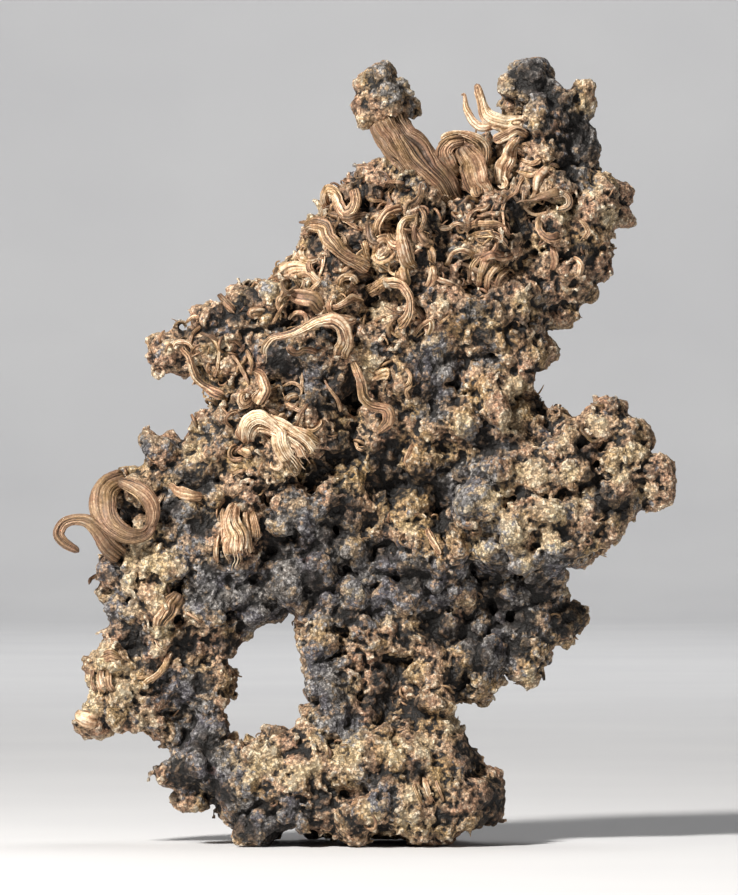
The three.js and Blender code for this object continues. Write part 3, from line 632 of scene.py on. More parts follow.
class Route:
    """A smooth line for a horn to follow, with its width and thickness along it."""

    def __init__(self, rows, facing=FACING, uneven=0.0, seed=0):
        path = smooth_route(rows, HORN_STEP)
        place = np.stack((np.arange(len(path)) * HORN_STEP / SWAY_LENGTH,
                          np.full(len(path), seed * 1.3),
                          np.zeros(len(path))), axis=-1)
        if uneven:
            sway = np.stack([soft_noise(place + k * 5.2, 1.0, k) for k in range(3)], axis=-1) - 0.5
            path[:, :3] += uneven * sway * path[:, 3:4]
            path[:, 3:5] *= 1.0 + 1.3 * uneven * (soft_noise(place * 0.8 + 9.0, 1.0) - 0.5)[:, None]
        steps = np.linalg.norm(np.diff(path[:, :3], axis=0), axis=1)
        self.reach = np.concatenate(((0.0,), np.cumsum(steps)))
        self.length = self.reach[-1]
        along = unit(np.gradient(path[:, :3], self.reach, axis=0))
        side = np.cross(along, facing)
        for i in range(1, len(side)):
            side[i] += SIDE_CARRY * side[i - 1]
        side = unit(side)
        self.columns = np.hstack((path, side, unit(np.cross(side, along))))
        self.width, self.thickness = path[:, 3:5].mean(axis=0)

    def at(self, share):
        """Middle, sideways, outwards, half width and half thickness at shares of the length."""
        reached = np.clip(share, 0.0, 1.0) * self.length
        row = np.stack([np.interp(reached, self.reach, c) for c in self.columns.T], axis=-1)
        return row[..., :3], unit(row[..., 5:8]), unit(row[..., 8:11]), row[..., 3] / 2, row[..., 4] / 2


def straight_tube(rings, sides):
    """A closed tube of radius 1 and length 1 that stands on the origin, with a UV map."""
    shape = bmesh.new()
    bmesh.ops.create_grid(shape, x_segments=sides, y_segments=rings, size=1.0, calc_uvs=True)
    for vert in shape.verts:
        turn = (vert.co.x + 1.0) * math.pi
        vert.co = (math.cos(turn), math.sin(turn), (vert.co.y + 1.0) / 2.0)
    bmesh.ops.remove_doubles(shape, verts=shape.verts, dist=1e-4)
    rims = [edge for edge in shape.edges if edge.is_boundary]
    bmesh.ops.holes_fill(shape, edges=rims, sides=0)
    face_outwards(shape)
    return to_mesh(shape, "tube")


TUBES = {}


def bent_tube(rings, sides, place):
    """A tube whose points go where place(turn, share) says: places, crest (painted light and shade),
    tone and tarnish.
    """
    if (rings, sides) not in TUBES:
        TUBES[rings, sides] = straight_tube(rings, sides)
    mesh = TUBES[rings, sides].copy()
    points = read_points(mesh)
    spots, *values = place(np.arctan2(points[:, 1], points[:, 0]), points[:, 2])
    move_points(mesh, spots)
    for name, rows in zip(("crest", "tone", "tarnish"), values):
        add_values(mesh, name, np.broadcast_to(rows, len(spots)))
    return mesh


def square_turn(turn, boxy):
    """How far across and how far out a turn round a horn is, for a more or less square edge."""
    return tuple(np.sign(v) * np.abs(v) ** boxy for v in (np.cos(turn), np.sin(turn)))


def draw_horn(rows, seed, rib=0.45, boxy=0.72, trough=0.0, twist=0.12, groove=0.2, fold=0.4,
              fibres=0.3, fray=0.08, uneven=0.35, tarnish=0.2, most_ribs=30, step=HORN_STEP):
    """A horn, ribbed lengthwise all round, with a few loose fibres on it.
    Rib is a rib's usual width, boxy how square the horn's edge is, trough how far its edges
    stand up, twist how far its ribs wind round it, groove how deep they are parted, fold how deep
    its broad creases are, fibres how much of it is loose, fray how much shorter the shortest
    fibres are, uneven how much it sways and swells and tarnish how dark it is, less than 0 for
    one that is paler than most."""
    draw = np.random.default_rng(seed)
    route = Route(rows, FACING, uneven, seed)
    rings = max(8, round(route.length / step))

    turns = np.linspace(-math.pi, math.pi, EDGE_TURNS)
    rim = np.stack(square_turn(turns, boxy), axis=1) * (route.width / 2, route.thickness / 2)
    round_it = np.concatenate(((0.0,), np.cumsum(np.linalg.norm(np.diff(rim, axis=0), axis=1))))
    girth = round_it[-1]
    ribs = int(np.clip(round(girth / rib), 5, most_ribs))
    edges = np.cumsum(LEAST_RIB + draw.random(ribs + 1))
    edges = (edges - edges[0]) / (edges[-1] - edges[0])
    rib_height = groove * (0.3 + 1.5 * draw.random(ribs) ** 2)
    rib_tone = draw.random(ribs)
    rib_lift = 0.5 * groove * (draw.random(ribs) - 0.5)
    columns = ribs * len(RIB_COLUMNS)

    def wound(first, share):
        """The turn round the horn at a share of its length, for a line that starts at first."""
        spot = np.stack((share * route.length / DRIFT_LENGTH, first * 0 + seed * 1.7,
                         np.cos(first * 2 * math.pi) * 0.8), axis=-1)
        drift = DRIFT * (soft_noise(spot, 1.0) - 0.5)
        return np.interp((first + twist * share + drift) % 1.0 * girth, round_it, turns)

    def creased(turn, share):
        """The broad creases, from 0 in their bottoms to 1 between them."""
        across, up = square_turn(turn, 1.0)
        spot = np.stack((
            across * route.width / CREASE_WIDTH + seed, up * 1.4,
            share * route.length / CREASE_LENGTH), axis=-1)
        return eased(soft_noise(spot, 1.0, 1), 0.2, 0.75)

    def skin_at(turn, share, raised):
        middle, sideways, outwards, half_width, half_depth = route.at(share)
        across, up = square_turn(turn, boxy)
        raised = raised + fold * (creased(turn, share) - 1.0)
        x = across * np.maximum(half_width + raised * 0.7, LEAST_HALF)
        y = up * np.maximum(half_depth + raised, LEAST_HALF) + trough * half_width * across**2
        return middle + sideways * x[..., None] + outwards * y[..., None]

    def darkened(share):
        from_end = np.minimum(share, 1.0 - share) * route.length
        return tarnish + (1.0 - tarnish) * np.clip(1.0 - from_end / DARK_ROOT, 0.0, 1.0)

    def rib_place(turn_on, share):
        kept = RIB_START + share * (MOST_FIBRE - RIB_START - fray)
        column = np.rint(turn_on * columns / (2 * math.pi)).astype(int) % columns
        which, part = column // len(RIB_COLUMNS), column % len(RIB_COLUMNS)
        first = edges[which] + (edges[which + 1] - edges[which]) * part / len(RIB_COLUMNS)
        turn = wound(first, kept)
        middle, _, _, half_width, _ = route.at(kept)
        along = np.stack(
            (kept * route.length / SWAY_LENGTH, which * 3.1, which * 0.0 + seed), axis=-1)
        wave = soft_noise(along, 1.0, 2)
        crest = RIB_COLUMNS[part] * (0.55 + 0.9 * wave)
        slim = np.minimum(1.0, half_width / (route.width / 2)) ** 0.5
        raised = slim * (rib_height[which] * (crest - 1.0) + rib_lift[which] + groove * (wave - 0.5))
        line = skin_at(turn, kept, raised)
        line += HORN_ROUGH * slim[:, None] * np.stack(
            [soft_noise(line + k * 7.7, HORN_ROUGH_SIZE, k) - 0.5 for k in range(3)], axis=-1)
        end = np.clip(np.minimum(share, 1.0 - share) * route.length / ROUNDED_END, 0.0, 1.0)
        tip = np.sqrt(1.0 - (1.0 - end) ** 2)[:, None]
        # The mark is painted light and shade: lighter on ribs' tops and lifted ribs, darker in grooves
        # and creases.
        mark = 0.15 + 0.6 * crest + 0.5 * (creased(turn, kept) - 0.6) + rib_lift[which] / groove
        return middle + (line - middle) * tip, np.clip(mark, 0, 1), rib_tone[which], darkened(kept)

    parts = [bent_tube(rings, columns, rib_place)]
    parts[0].flip_normals()  # bending it to the route turned it inside out, unlike the fibres
    strand_rings = max(6, round(route.length / FIBRE_STEP))
    for k in range(round(fibres * ribs)):
        radius = rib * (0.16 + 0.22 * draw.random() ** 2)
        tone = draw.random()
        start = 0.04 + 0.5 * draw.random() ** 2
        stop = MOST_FIBRE - fray * 1.6 * draw.random() - 0.35 * draw.random() ** 2
        share = np.linspace(start, stop, strand_rings + 1)
        high = 0.5 * radius * draw.random() - 0.1 * radius
        peel = rib * 2.5 * draw.random() ** 3 * min(1.0, fray * 8.0)
        wave = soft_noise(np.stack((
            share * route.length / 2.2, share * 0 + k * 3.1, share * 0 + seed), axis=-1), 1.0, 2)
        turn = wound(np.full(len(share), draw.random()), share)
        ends = np.clip(np.minimum(share - start, stop - share) * route.length / (3 * radius), 0, 1)
        thick = radius * np.sqrt(1.0 - (1.0 - ends * 0.97) ** 2) * (0.7 + 0.6 * wave)
        raised = high * ends - radius * (1.0 - ends)
        raised += peel * np.clip((share - start) / (stop - start) - 0.6, 0, 1) ** 2 * 6
        line = skin_at(turn, share, raised)
        along = unit(np.gradient(line, axis=0))
        outward = line - route.at(share)[0]
        outward = unit(outward - np.einsum("ij,ij->i", outward, along)[:, None] * along)
        beside = np.cross(along, outward)

        def fibre_place(turn_on, share_on, line=line, outward=outward, beside=beside, thick=thick,
                        tone=tone, share=share):
            ring = np.rint(share_on * strand_rings).astype(int)
            lift = np.cos(turn_on)
            spots = line[ring] + thick[ring, None] * (
                lift[:, None] * 0.85 * outward[ring] + np.sin(turn_on)[:, None] * beside[ring])
            # A fibre is painted lighter on the side away from the horn and darker on the side towards
            # it.
            return spots, 0.6 + 0.35 * lift, tone, darkened(share[ring])
        parts.append(bent_tube(strand_rings, FIBRE_SIDES, fibre_place))
    return joined(parts)


# How each horn's ribs lie, where that differs from a plain horn.
HORN_LOOKS = {
    "broad_horn": dict(rib=0.42, groove=0.36, fold=0.45, boxy=0.85, twist=0.04, uneven=0.08,
                       fibres=0.6, tarnish=0.64, most_ribs=42),
    "hook_horn": dict(tarnish=-0.2, groove=0.16),
    "fork_wire": dict(tarnish=-0.3, rib=0.36, groove=0.12, fold=0.2, uneven=0.3, fray=0.0),
    "strut_wire": dict(tarnish=-0.1),
    "drop_ribbon": dict(tarnish=0.1, groove=0.24, uneven=0.5),
    "folded_sheet": dict(fold=0.5, trough=0.3, tarnish=0.4),
    "folded_horn": dict(rib=0.42, groove=0.26, fold=0.4, trough=-0.1, tarnish=0.3, uneven=0.25),
    "long_wire": dict(rib=0.5, groove=0.1, fold=0.25, trough=0.12, twist=0.2, tarnish=-0.25,
                      fibres=0.15, uneven=0.25),
    "cascade_ribbon": dict(fray=0.2, tarnish=0.0, fibres=0.6),
    "left_curl": dict(rib=0.34, groove=0.14, fold=0.22, boxy=0.6, twist=0.03, uneven=0.06,
                      fibres=0.3, fray=0.0, tarnish=0.6),
    "fan_ribbons": dict(rib=0.38, groove=0.34, fold=0.45, fray=0.22, fibres=1.0, twist=0.05,
                        tarnish=-0.5),
    "centre_ribbon": dict(tarnish=0.3, groove=0.24),
    "lower_ribbon": dict(rib=0.36, groove=0.34, fold=0.4, fray=0.25, fibres=1.0, twist=0.0,
                         tarnish=-0.25),
    "corner_blade": dict(fold=0.4, fray=0.2, tarnish=0.3),
    "crown_loop": dict(rib=0.3, groove=0.08, fold=0.15, tarnish=-0.3, fibres=0.15),
    "tip_bow": dict(rib=0.36, groove=0.12, fold=0.2, tarnish=-0.1),
    "u_curl": dict(groove=0.16, fold=0.3, twist=0.3, uneven=0.25, tarnish=0.0),
    "omega_wire": dict(groove=0.14, fold=0.3, twist=0.2, uneven=0.3, tarnish=0.05),
    "c_hook": dict(groove=0.2, tarnish=0.1),
}

# Smaller strands that lie on the skin: width, rise above the skin, and x and z along them.
STRANDS = [
    (0.8, 0.8, [(26.5, 109.5), (26.5, 106), (28, 104.4), (30, 104.6), (31.5, 106)]),
    (0.5, 0.8, [(26.0, 115.2), (26.4, 116.2), (27.3, 115.9), (27.2, 114.9)]),
    (2.4, 1.4, [(14.9, 113.6), (12.9, 111.2), (12.5, 109), (13.6, 107), (15.6, 105.6)]),
    (1.6, 1.2, [(17, 111), (18.5, 108.5), (20, 106)]),
    (0.8, 0.8, [(-11, 103.3), (-8, 103.2), (-5, 104.5)]),
    (1.3, 1.0, [(-9, 101), (-8, 102.8), (-6, 102.5), (-5.6, 101), (-6.5, 98.5), (-7, 96.5)]),
    (1.8, 1.3, [(5.2, 102), (4.9, 99.4), (4.2, 97.4), (2.6, 96.8), (1.0, 98.4)]),
    (0.9, 1.8, [(8.8, 105.8), (9.9, 103.6), (9.4, 101.8), (8.2, 101.3)]),
    (0.6, 1.2, [(8.5, 100), (9.5, 99.2), (10.5, 99.8), (10.2, 101), (12.8, 100.6)]),
    (1.2, 1.5, [(13.5, 95.6), (14.3, 97.6), (16.2, 98.4), (17.8, 97.6), (17.9, 96.2)]),
    (0.9, 1.2, [(8, 84.3), (9.3, 86.0), (11, 86.7), (11.3, 85.4), (9.6, 83.9)]),
    (2.4, 1.2, [(-6, 88), (-8, 90.2), (-11.4, 91.4), (-14, 90.6)]),
    (2.4, 1.0, [(-6.4, 92.4), (-9.4, 95), (-12.6, 95.6), (-15.4, 94)]),
    (1.6, 1.5, [(-5.2, 91), (-5.7, 88.6), (-3.6, 87.3), (-0.4, 86.9)]),
    (1.0, 1.0, [(-4.6, 92.6), (-3.6, 94), (-1.8, 94), (-1.2, 92.6)]),
    (0.7, 1.2, [(-31.8, 81.6), (-31.2, 83.2), (-29.4, 83.4), (-28.4, 82), (-29.2, 80.2), (-31, 80)]),
    (0.7, 1.0, [(-27.8, 84.4), (-25.6, 84.2), (-24, 82.2), (-24.1, 79.4), (-25.3, 76.6)]),
    (0.6, 1.0, [(-28.4, 80.6), (-27.6, 77.6), (-28.6, 75.8)]),
    (0.6, 0.9, [(-29.6, 86.4), (-28, 87.6), (-26.6, 86.6)]),
    (0.5, 0.9, [(-31.8, 85.4), (-30.6, 86.8), (-29.4, 86.2)]),
    (1.4, 1.1, [(-24, 91.4), (-22.6, 89.8), (-21.4, 87.8)]),
    (0.8, 1.0, [(-14, 75.4), (-12, 76.6), (-10.4, 75.6), (-11, 74.2)]),
    (1.8, 1.2, [(-33.4, 60.6), (-31.5, 59), (-28.5, 57.6), (-25.2, 57)]),
    (0.6, 1.0, [(-34.8, 55.6), (-33.2, 58.2)]),
    (2.0, 1.2, [(-20.4, 65.9), (-17.2, 64.4)]),
    (1.8, 1.2, [(-18.8, 71.6), (-17.4, 69.8), (-15.6, 67.6)]),
    (1.2, 2.2, [(-17.6, 70.2), (-15.2, 67.2), (-13.2, 64), (-12, 61.2)]),
    (1.2, 2.4, [(-15.6, 69.6), (-12, 69.0), (-8.6, 67.4), (-6.2, 65.4)]),
    (1.3, 1.6, [(-17, 71.6), (-14.6, 70.8), (-12.4, 71.2)]),
    (1.7, 1.5, [(-18.4, 55.6), (-17.8, 53), (-18.2, 50.4)]),
    (1.1, 1.6, [(-22.8, 56), (-23.2, 52), (-22.8, 47.6)]),
    (1.1, 1.6, [(-19.8, 55.8), (-19.2, 51.6), (-18.6, 47.2)]),
    (1.0, 1.2, [(-24, 51.6), (-24.6, 48.6), (-23.8, 45.8)]),
    (2.2, 1.3, [(0.8, 77.2), (3, 78.1), (5.4, 77.3)]),
    (0.9, 1.0, [(6.4, 79.6), (7.7, 78), (7.4, 76.4), (6.4, 75.8)]),
    (0.6, 1.2, [(-6.8, 77.8), (-5.8, 75.8), (-4.5, 74), (-3.7, 72.2), (-4.3, 70.8)]),
    (0.9, 1.1, [(-10.2, 69.5), (-8.5, 68.8), (-7, 69.7), (-6.7, 71.2)]),
    (0.8, 1.0, [(-1.4, 67.6), (-0.9, 65.8), (0.8, 65.4)]),
    (1.4, 1.0, [(10.2, 53), (11.4, 50.2), (13.2, 47.2)]),
    (1.4, 1.0, [(8.4, 66.6), (6.8, 64.2), (7.4, 61.6)]),
    (0.8, 1.0, [(-29.8, 38.8), (-28, 38), (-26.2, 36.6)]),
    (0.9, 1.5, [(-31.6, 32.6), (-32.6, 30.4), (-33.9, 28.6), (-35.8, 27.3), (-37.4, 25.6)]),
    (0.5, 1.3, [(-34, 28.4), (-36, 28.0), (-38, 27.8)]),
    (0.5, 1.2, [(-34.6, 34.4), (-33.7, 32.8), (-32.2, 32.2)]),
    (1.1, 1.0, [(-44.6, 29.6), (-44.9, 27), (-43.9, 24.4)]),
    (1.1, 1.0, [(-43.2, 29.4), (-43.5, 26.8), (-42.6, 24.6)]),
    (1.1, 0.8, [(-41.8, 29.2), (-42.1, 26.8), (-41.4, 25)]),
    (1.6, 1.0, [(-44, 30.6), (-41.6, 31.6), (-39.4, 30.4)]),
    (2.6, 1.0, [(-47.6, 22.4), (-45.4, 21.2), (-43.4, 20.2)]),
    (0.8, 0.8, [(9.8, 11.8), (10.6, 9), (11.6, 6.4)]),
    (0.8, 0.8, [(11.6, 12), (12.6, 9.2), (13.4, 6.8)]),
    (0.8, 0.8, [(8.2, 11.2), (9, 8.6), (10, 6)]),
    (1.0, 1.0, [(34.6, 104.2), (36.2, 103.2), (37, 101.4), (36.2, 99.8)]),
    (0.8, 0.9, [(30.2, 113.2), (32.6, 112)]),
    (1.1, 1.0, [(25.4, 112), (27.6, 111), (30.4, 111.8), (31.4, 110.4)]),
    (1.0, 0.9, [(25.8, 113.6), (28.4, 113), (30, 114.4)]),
    (1.3, 1.0, [(17, 102.4), (20, 103), (23.2, 102), (25, 99.6)]),
    (1.1, 1.0, [(17.4, 100.6), (20.4, 101.2), (23, 100.2), (24, 98.6)]),
    (1.2, 1.1, [(17.4, 92.8), (18.0, 96.0), (20.8, 98.4)]),
    (1.2, 1.3, [(18.8, 92.2), (19.5, 95.4), (22.0, 97.8)]),
    (1.2, 1.2, [(20.2, 91.8), (21.0, 94.8), (23.2, 96.8)]),
    (1.0, 0.9, [(21.8, 91.8), (22.5, 94.2), (24.2, 95.6)]),
    (1.2, 1.0, [(30.8, 99.6), (31.6, 97), (30.6, 94.8)]),
    (1.0, 1.0, [(34.4, 97.8), (35.8, 96), (35.2, 93.8)]),
]


# ---------- the spongy mass ----------

# Slate sulphide on the front: x, z, radius.
SLATE_PATCHES = [
    (27.9, 128, 3.6), (29.9, 125, 2.8), (2.9, 128.5, 2.0), (5.9, 125.3, 2.3), (3.2, 124.9, 1.4),
    (7.8, 121.6, 1.4), (8.3, 110, 1.9), (-1.5, 112, 1.4), (26.9, 118.7, 1.2), (35.8, 116.5, 3.0),
    (38.5, 119.5, 1.6), (35.3, 110.6, 2.2), (10.8, 92, 1.8), (12.4, 93.4, 1.3), (18.1, 88.6, 1.7),
    (21.1, 91.5, 1.0), (30.2, 90, 2.1), (29.9, 86, 1.8), (14.7, 98.8, 1.6), (14.7, 103, 1.6),
    (5.4, 96, 1.2), (-23.8, 86.2, 1.9), (-33.4, 81.5, 1.4), (-16, 92, 1.8), (-18.4, 81.8, 1.6),
    (-13.6, 81.3, 2.6), (-8.1, 76.8, 2.6), (-7.2, 93.8, 1.5), (0.7, 92.5, 1.3),
    (-20.9, 68, 2.3), (-24.8, 68.5, 2.2), (-13.6, 71.5, 1.6), (11.4, 80.4, 3.1),
    (14.5, 79, 1.8), (20.4, 81, 1.6), (14.5, 75.2, 1.5), (11.7, 73.2, 2.8), (18.9, 68.8, 1.9),
    (20.9, 65.9, 1.8), (23.8, 65.9, 1.3), (30.2, 67.8, 1.8), (19.4, 62, 2.3), (14, 60, 2.5),
    (16, 57, 2.6), (2.3, 82, 1.6), (38.5, 57.5, 2.4), (44.9, 56.3, 2.0), (33.5, 56.3, 1.4),
    (-36.6, 65.3, 1.9), (-41.2, 61.3, 1.3), (-31.4, 66.2, 1.8), (-30.4, 61.8, 1.8),
    (-31.9, 55.9, 2.9), (-27.4, 53, 2.6), (-29.4, 49.5, 2.2), (-40.7, 49.5, 1.4),
    (-42.6, 46.1, 1.6), (-25.5, 59.8, 1.3), (-12.3, 57.8, 1.5), (-10.8, 53, 3.6),
    (-6.5, 51.5, 2.8), (-25.5, 43.2, 3.6), (-17.6, 40.2, 3.7), (-11.8, 45.4, 3.8),
    (-40.2, 38.7, 2.6), (-37.8, 34.3, 1.9), (-8.3, 26.5, 2.0), (-29.4, 26, 2.5),
    (-2.6, 53.2, 2.1), (-1.6, 46, 3.2), (-5.5, 40.5, 3.0), (4, 47, 2.6), (9.5, 45.5, 2.4),
    (2, 40, 2.4), (21.5, 51.2, 2.1), (23.1, 47.5, 2.0), (17.3, 45.9, 2.3), (30.9, 47, 1.7),
    (24.1, 37.6, 2.4), (21.8, 32, 2.8), (18.4, 35.6, 2.3), (27, 41.5, 2.0), (12.5, 41, 2.4),
    (-6.5, 29.8, 2.2), (-5.3, 24.5, 2.1), (-3.5, 20.4, 2.2), (-26.5, 18.7, 3.2),
    (-24.7, 13.8, 2.9), (-32, 14.5, 1.2), (-19.2, 6.6, 2.3), (-15, 4.2, 3.0), (-11.9, 6, 2.0),
    (3.8, 8.4, 2.0), (0.8, 11.4, 1.7), (16.5, 12, 1.8),
]
OCHRE_PATCHES = [
    (8, 66, 3.2), (9, 62.5, 2.6), (6.5, 55, 3.0), (11, 52, 2.6), (11, 48, 2.6), (18.5, 49, 2.0),
    (9.5, 58, 2.4), (-1, 62, 2.4), (-21, 63.5, 2.2), (-28, 57, 1.8), (16, 86, 2.6), (19, 76, 2.4),
    (37, 100, 3.0), (-34, 47.5, 3.0), (-42, 30, 2.4), (4, 16.5, 3.2), (-3.5, 16.3, 3.0),
    (13.5, 12.5, 2.6), (10.5, 21, 2.6), (-18, 9, 2.4), (0.5, 6.5, 2.4), (27, 31, 2.0),
    (-25, 76, 3.0), (-15, 34, 2.0), (-10, 63, 2.2), (24, 84, 2.2),
]
RUST_PATCHES = [(16, 38, 1.4), (-25, 12.6, 0.9), (-9.5, 47.5, 0.8)]

# Wide zones where the front is more slate than tan: x, z, radius, strength.
SLATE_ZONES = [
    (28, 126.5, 4, 1.2), (36, 115, 3.5, 0.8), (38.5, 118, 2.5, 0.7), (34.5, 121, 2.5, 0.6),
    (3.5, 126, 3, 0.5), (-9, 78.5, 3, 0.8), (-13, 80.5, 2.5, 0.7), (11, 80, 3, 0.8),
    (14.5, 79, 2.5, 0.7), (11, 73, 2.8, 0.7), (21, 79.5, 2.5, 0.5), (18, 88, 2, 0.5),
    (21, 68, 2.5, 0.5),
    (20, 61.5, 3, 0.7), (14, 60, 3, 0.8), (17, 56, 3, 0.5), (22, 54, 3, 0.4),
    (-36, 67, 2.5, 0.8), (-41, 60, 2.5, 0.5), (-30, 55, 3.2, 0.8), (-28, 60, 2.5, 0.5),
    (-10, 53, 4, 0.8), (-5, 51, 3, 0.6), (-27, 43, 4.5, 1.0), (-20, 42, 4.5, 0.9),
    (-13, 44, 5, 0.8), (-17, 39, 4, 0.9), (-10, 41, 4, 0.5), (-3, 46, 5, 0.5), (5, 46, 4, 0.6),
    (8, 43, 4, 0.6), (2, 41, 5, 0.5), (0, 36, 4, 0.4), (14, 43, 3, 0.5), (20, 44, 3.5, 0.8),
    (26, 43, 4, 0.9), (30, 41, 3, 0.7), (14, 35, 3, 0.7), (20, 33, 4, 0.7), (24, 37, 4, 0.6),
    (30, 36, 4, 0.4), (34, 34, 3, 0.3), (28, 30, 4, 0.4), (22, 29, 3, 0.6), (10, 39, 3, 0.5),
    (-7, 29, 4, 0.7), (-5, 23, 4, 0.8), (-3, 19.5, 3, 0.7), (-8, 33, 3, 0.5), (-28, 26, 3.5, 0.8),
    (-30, 22, 3, 0.7), (-26, 18, 4, 0.9), (-28, 13, 4, 0.8), (-23, 10, 4, 0.5), (-31, 10, 3, 0.5),
    (-18, 14, 2.5, 0.4), (-20, 4, 3, 0.6), (-16, 1, 3, 0.7), (-12, 3, 3, 0.8), (-11, 7, 2, 0.6),
    (-3, 8, 2, 0.5), (2, 9, 2.5, 0.6), (5, 5, 2, 0.5), (-41, 45, 3, 0.5), (-43, 38, 2.5, 0.7),
    (-36, 32, 3, 0.5), (-46, 22, 2.5, 0.4), (-38, 22, 3, 0.5), (-33, 27, 2.5, 0.5),
    (34, 46, 3, 0.7), (38, 47, 3, 0.5), (30, 47, 3, 0.5), (42, 51, 2, 0.4), (41, 72, 2.2, 0.6),
    (22, 12, 2, 0.4),
]
# Deep places on the front, darkened with painted shade, which also lie further back: x, z, radius.
DARK_PLACES = [
    (24.5, 105.5, 2.0), (26, 102, 1.6), (12, 103.2, 2.6), (11, 98, 2.2), (17, 108, 1.5),
    (1, 107, 2.0), (-1, 99.8, 1.6), (0.7, 92, 1.8), (-4.5, 97, 1.4), (-8, 99.5, 1.4),
    (-13, 87, 2.0), (-5.5, 84.5, 1.8), (-14, 80, 2.0), (-3.4, 75.6, 3.2), (-7, 73.2, 2.0),
    (-3, 66, 2.8), (-7.5, 61.5, 2.0), (4, 64.5, 2.4), (5, 60, 3.4), (9, 60.5, 2.6),
    (12.6, 57.5, 2.0), (12.8, 53, 1.9), (-3.5, 56, 2.6), (-5, 52, 2.0), (-14, 49, 1.8),
    (2, 49, 2.0), (8, 44, 2.0), (20.5, 42.5, 2.2), (12.3, 35.7, 3.0), (17, 35.5, 2.2),
    (7, 34.5, 2.0), (4, 28.5, 2.8), (2.6, 23.5, 2.4), (8.4, 22.6, 2.0), (15.5, 27, 2.4),
    (18.5, 31, 1.8), (34, 37.5, 3.2), (26, 33, 1.8), (29.5, 42.5, 2.0), (34, 112, 2.0),
    (35.6, 117.6, 1.8), (31.5, 123.4, 1.6), (29.6, 125.4, 2.0), (36.8, 98, 1.8), (28.5, 78, 1.6),
    (29, 73, 1.6), (36.3, 66, 2.0), (39.6, 57.2, 2.4), (42.4, 55.5, 1.6), (-28, 60, 2.0),
    (-31.5, 56, 1.5), (-27, 53, 1.8), (-39.6, 55.6, 1.6), (-30, 33, 2.0), (-38, 34, 2.0),
    (-34.5, 29.6, 1.4), (-22, 32.4, 2.0), (-26.5, 27, 2.0), (22, 8, 2.8), (18, 16, 2.6),
    (20.5, 3.5, 2.2), (-6, 7.6, 2.0), (-1.2, 4, 1.6), (-20, 3, 2.0), (-14, 2, 1.8), (-16, 7, 1.5),
    (13, 5, 1.4), (-25, 6, 1.8), (21, 66, 1.6), (-12, 75, 1.6), (8, 87, 1.4), (-19, 91, 1.6),
    (-24, 88, 1.4), (9, 12.6, 1.5), (-9.5, 15, 1.3), (31, 102, 1.4), (20, 84, 1.5), (26, 86, 1.3),
    (33, 51.6, 1.2), (26, 58.4, 1.2), (33, 116, 1.3), (30.5, 119, 1.2), (22.5, 112.8, 1.2),
    (34, 31, 1.4), (31, 27.6, 1.0), (-8.5, 44, 1.4), (-3, 38, 1.4),
    (27.5, 127.5, 2.6), (35.5, 120, 1.6), (37.5, 114.6, 1.5),
    (-24, 9, 2.2), (-29.5, 11.5, 2.2), (-26, 17, 2.0), (-26, 84.4, 1.8), (-21, 88.4, 1.8),
    (-30, 85.6, 1.2), (26.4, 37.4, 2.0), (30.4, 33.4, 1.8), (22, 40, 1.8), (37, 60.6, 1.8),
]
# Paler places on the front, which also stand further out: x, z, radius.
PALE_PLACES = [
    (-38, 43, 2.6), (-33, 43, 1.8), (-30, 46.5, 1.6), (-34, 39.6, 1.6), (-40.5, 28, 2.2),
    (-9, 13.6, 2.4), (-19, 12, 2.0), (8, 9, 1.8), (-7, 17.4, 2.0), (-1, 11.6, 1.6),
    (-36, 47, 3.4), (-41, 41, 2.0), (-33, 36, 2.0), (-28.5, 65, 1.8), (-43, 31, 2.4),
    (-46, 23, 2.0), (-39, 25.4, 2.0), (-36, 21, 1.8), (-16, 15, 3.0), (-22, 14, 2.0),
    (-2.6, 15.6, 3.4), (4.6, 15.8, 2.6), (-12, 11.6, 2.0), (1.6, 6.4, 2.2), (7, 4.8, 1.8),
    (17, 57.5, 3.2), (24, 52, 4.2), (30, 56, 3.0), (30.5, 50, 2.6), (28, 61.4, 2.8),
    (34, 62, 2.0), (42, 62.4, 2.4), (46.4, 58.6, 2.0), (26, 91, 1.6), (20, 96, 2.4),
    (33, 105, 2.0), (8, 99.6, 2.0), (2.8, 88.4, 2.2), (1.6, 79, 2.0), (-24, 83, 2.4),
    (-32.6, 82.4, 1.6), (-28, 80, 1.5), (-15, 92, 1.6), (13, 90, 1.6), (16.6, 69.4, 1.8),
    (24, 70, 2.0), (7.4, 52.6, 1.6), (-19, 34.6, 1.6), (14.6, 20, 1.8), (10, 16.6, 1.8),
    (30, 32.6, 1.8), (27.6, 28, 1.4), (34.6, 42, 1.4), (-1.5, 42.6, 1.8), (3, 37.6, 1.6),
    (20, 50, 2.6), (36, 57, 2.2), (22, 57.4, 2.4), (33, 66.4, 2.0), (45, 65, 2.2), (38.6, 69.6, 2.0),
    (26.8, 47.6, 1.8), (-37, 51, 2.0), (-31.6, 47.6, 2.0), (-28, 38.6, 1.8), (-45.4, 26.4, 2.0),
    (-38.6, 38.6, 1.8), (-34, 32.6, 1.6), (37, 122, 1.8), (38, 108.6, 1.8), (40.6, 104, 1.8),
    (35, 112.6, 1.2), (12, 83, 2.0), (25, 76, 1.8),
]
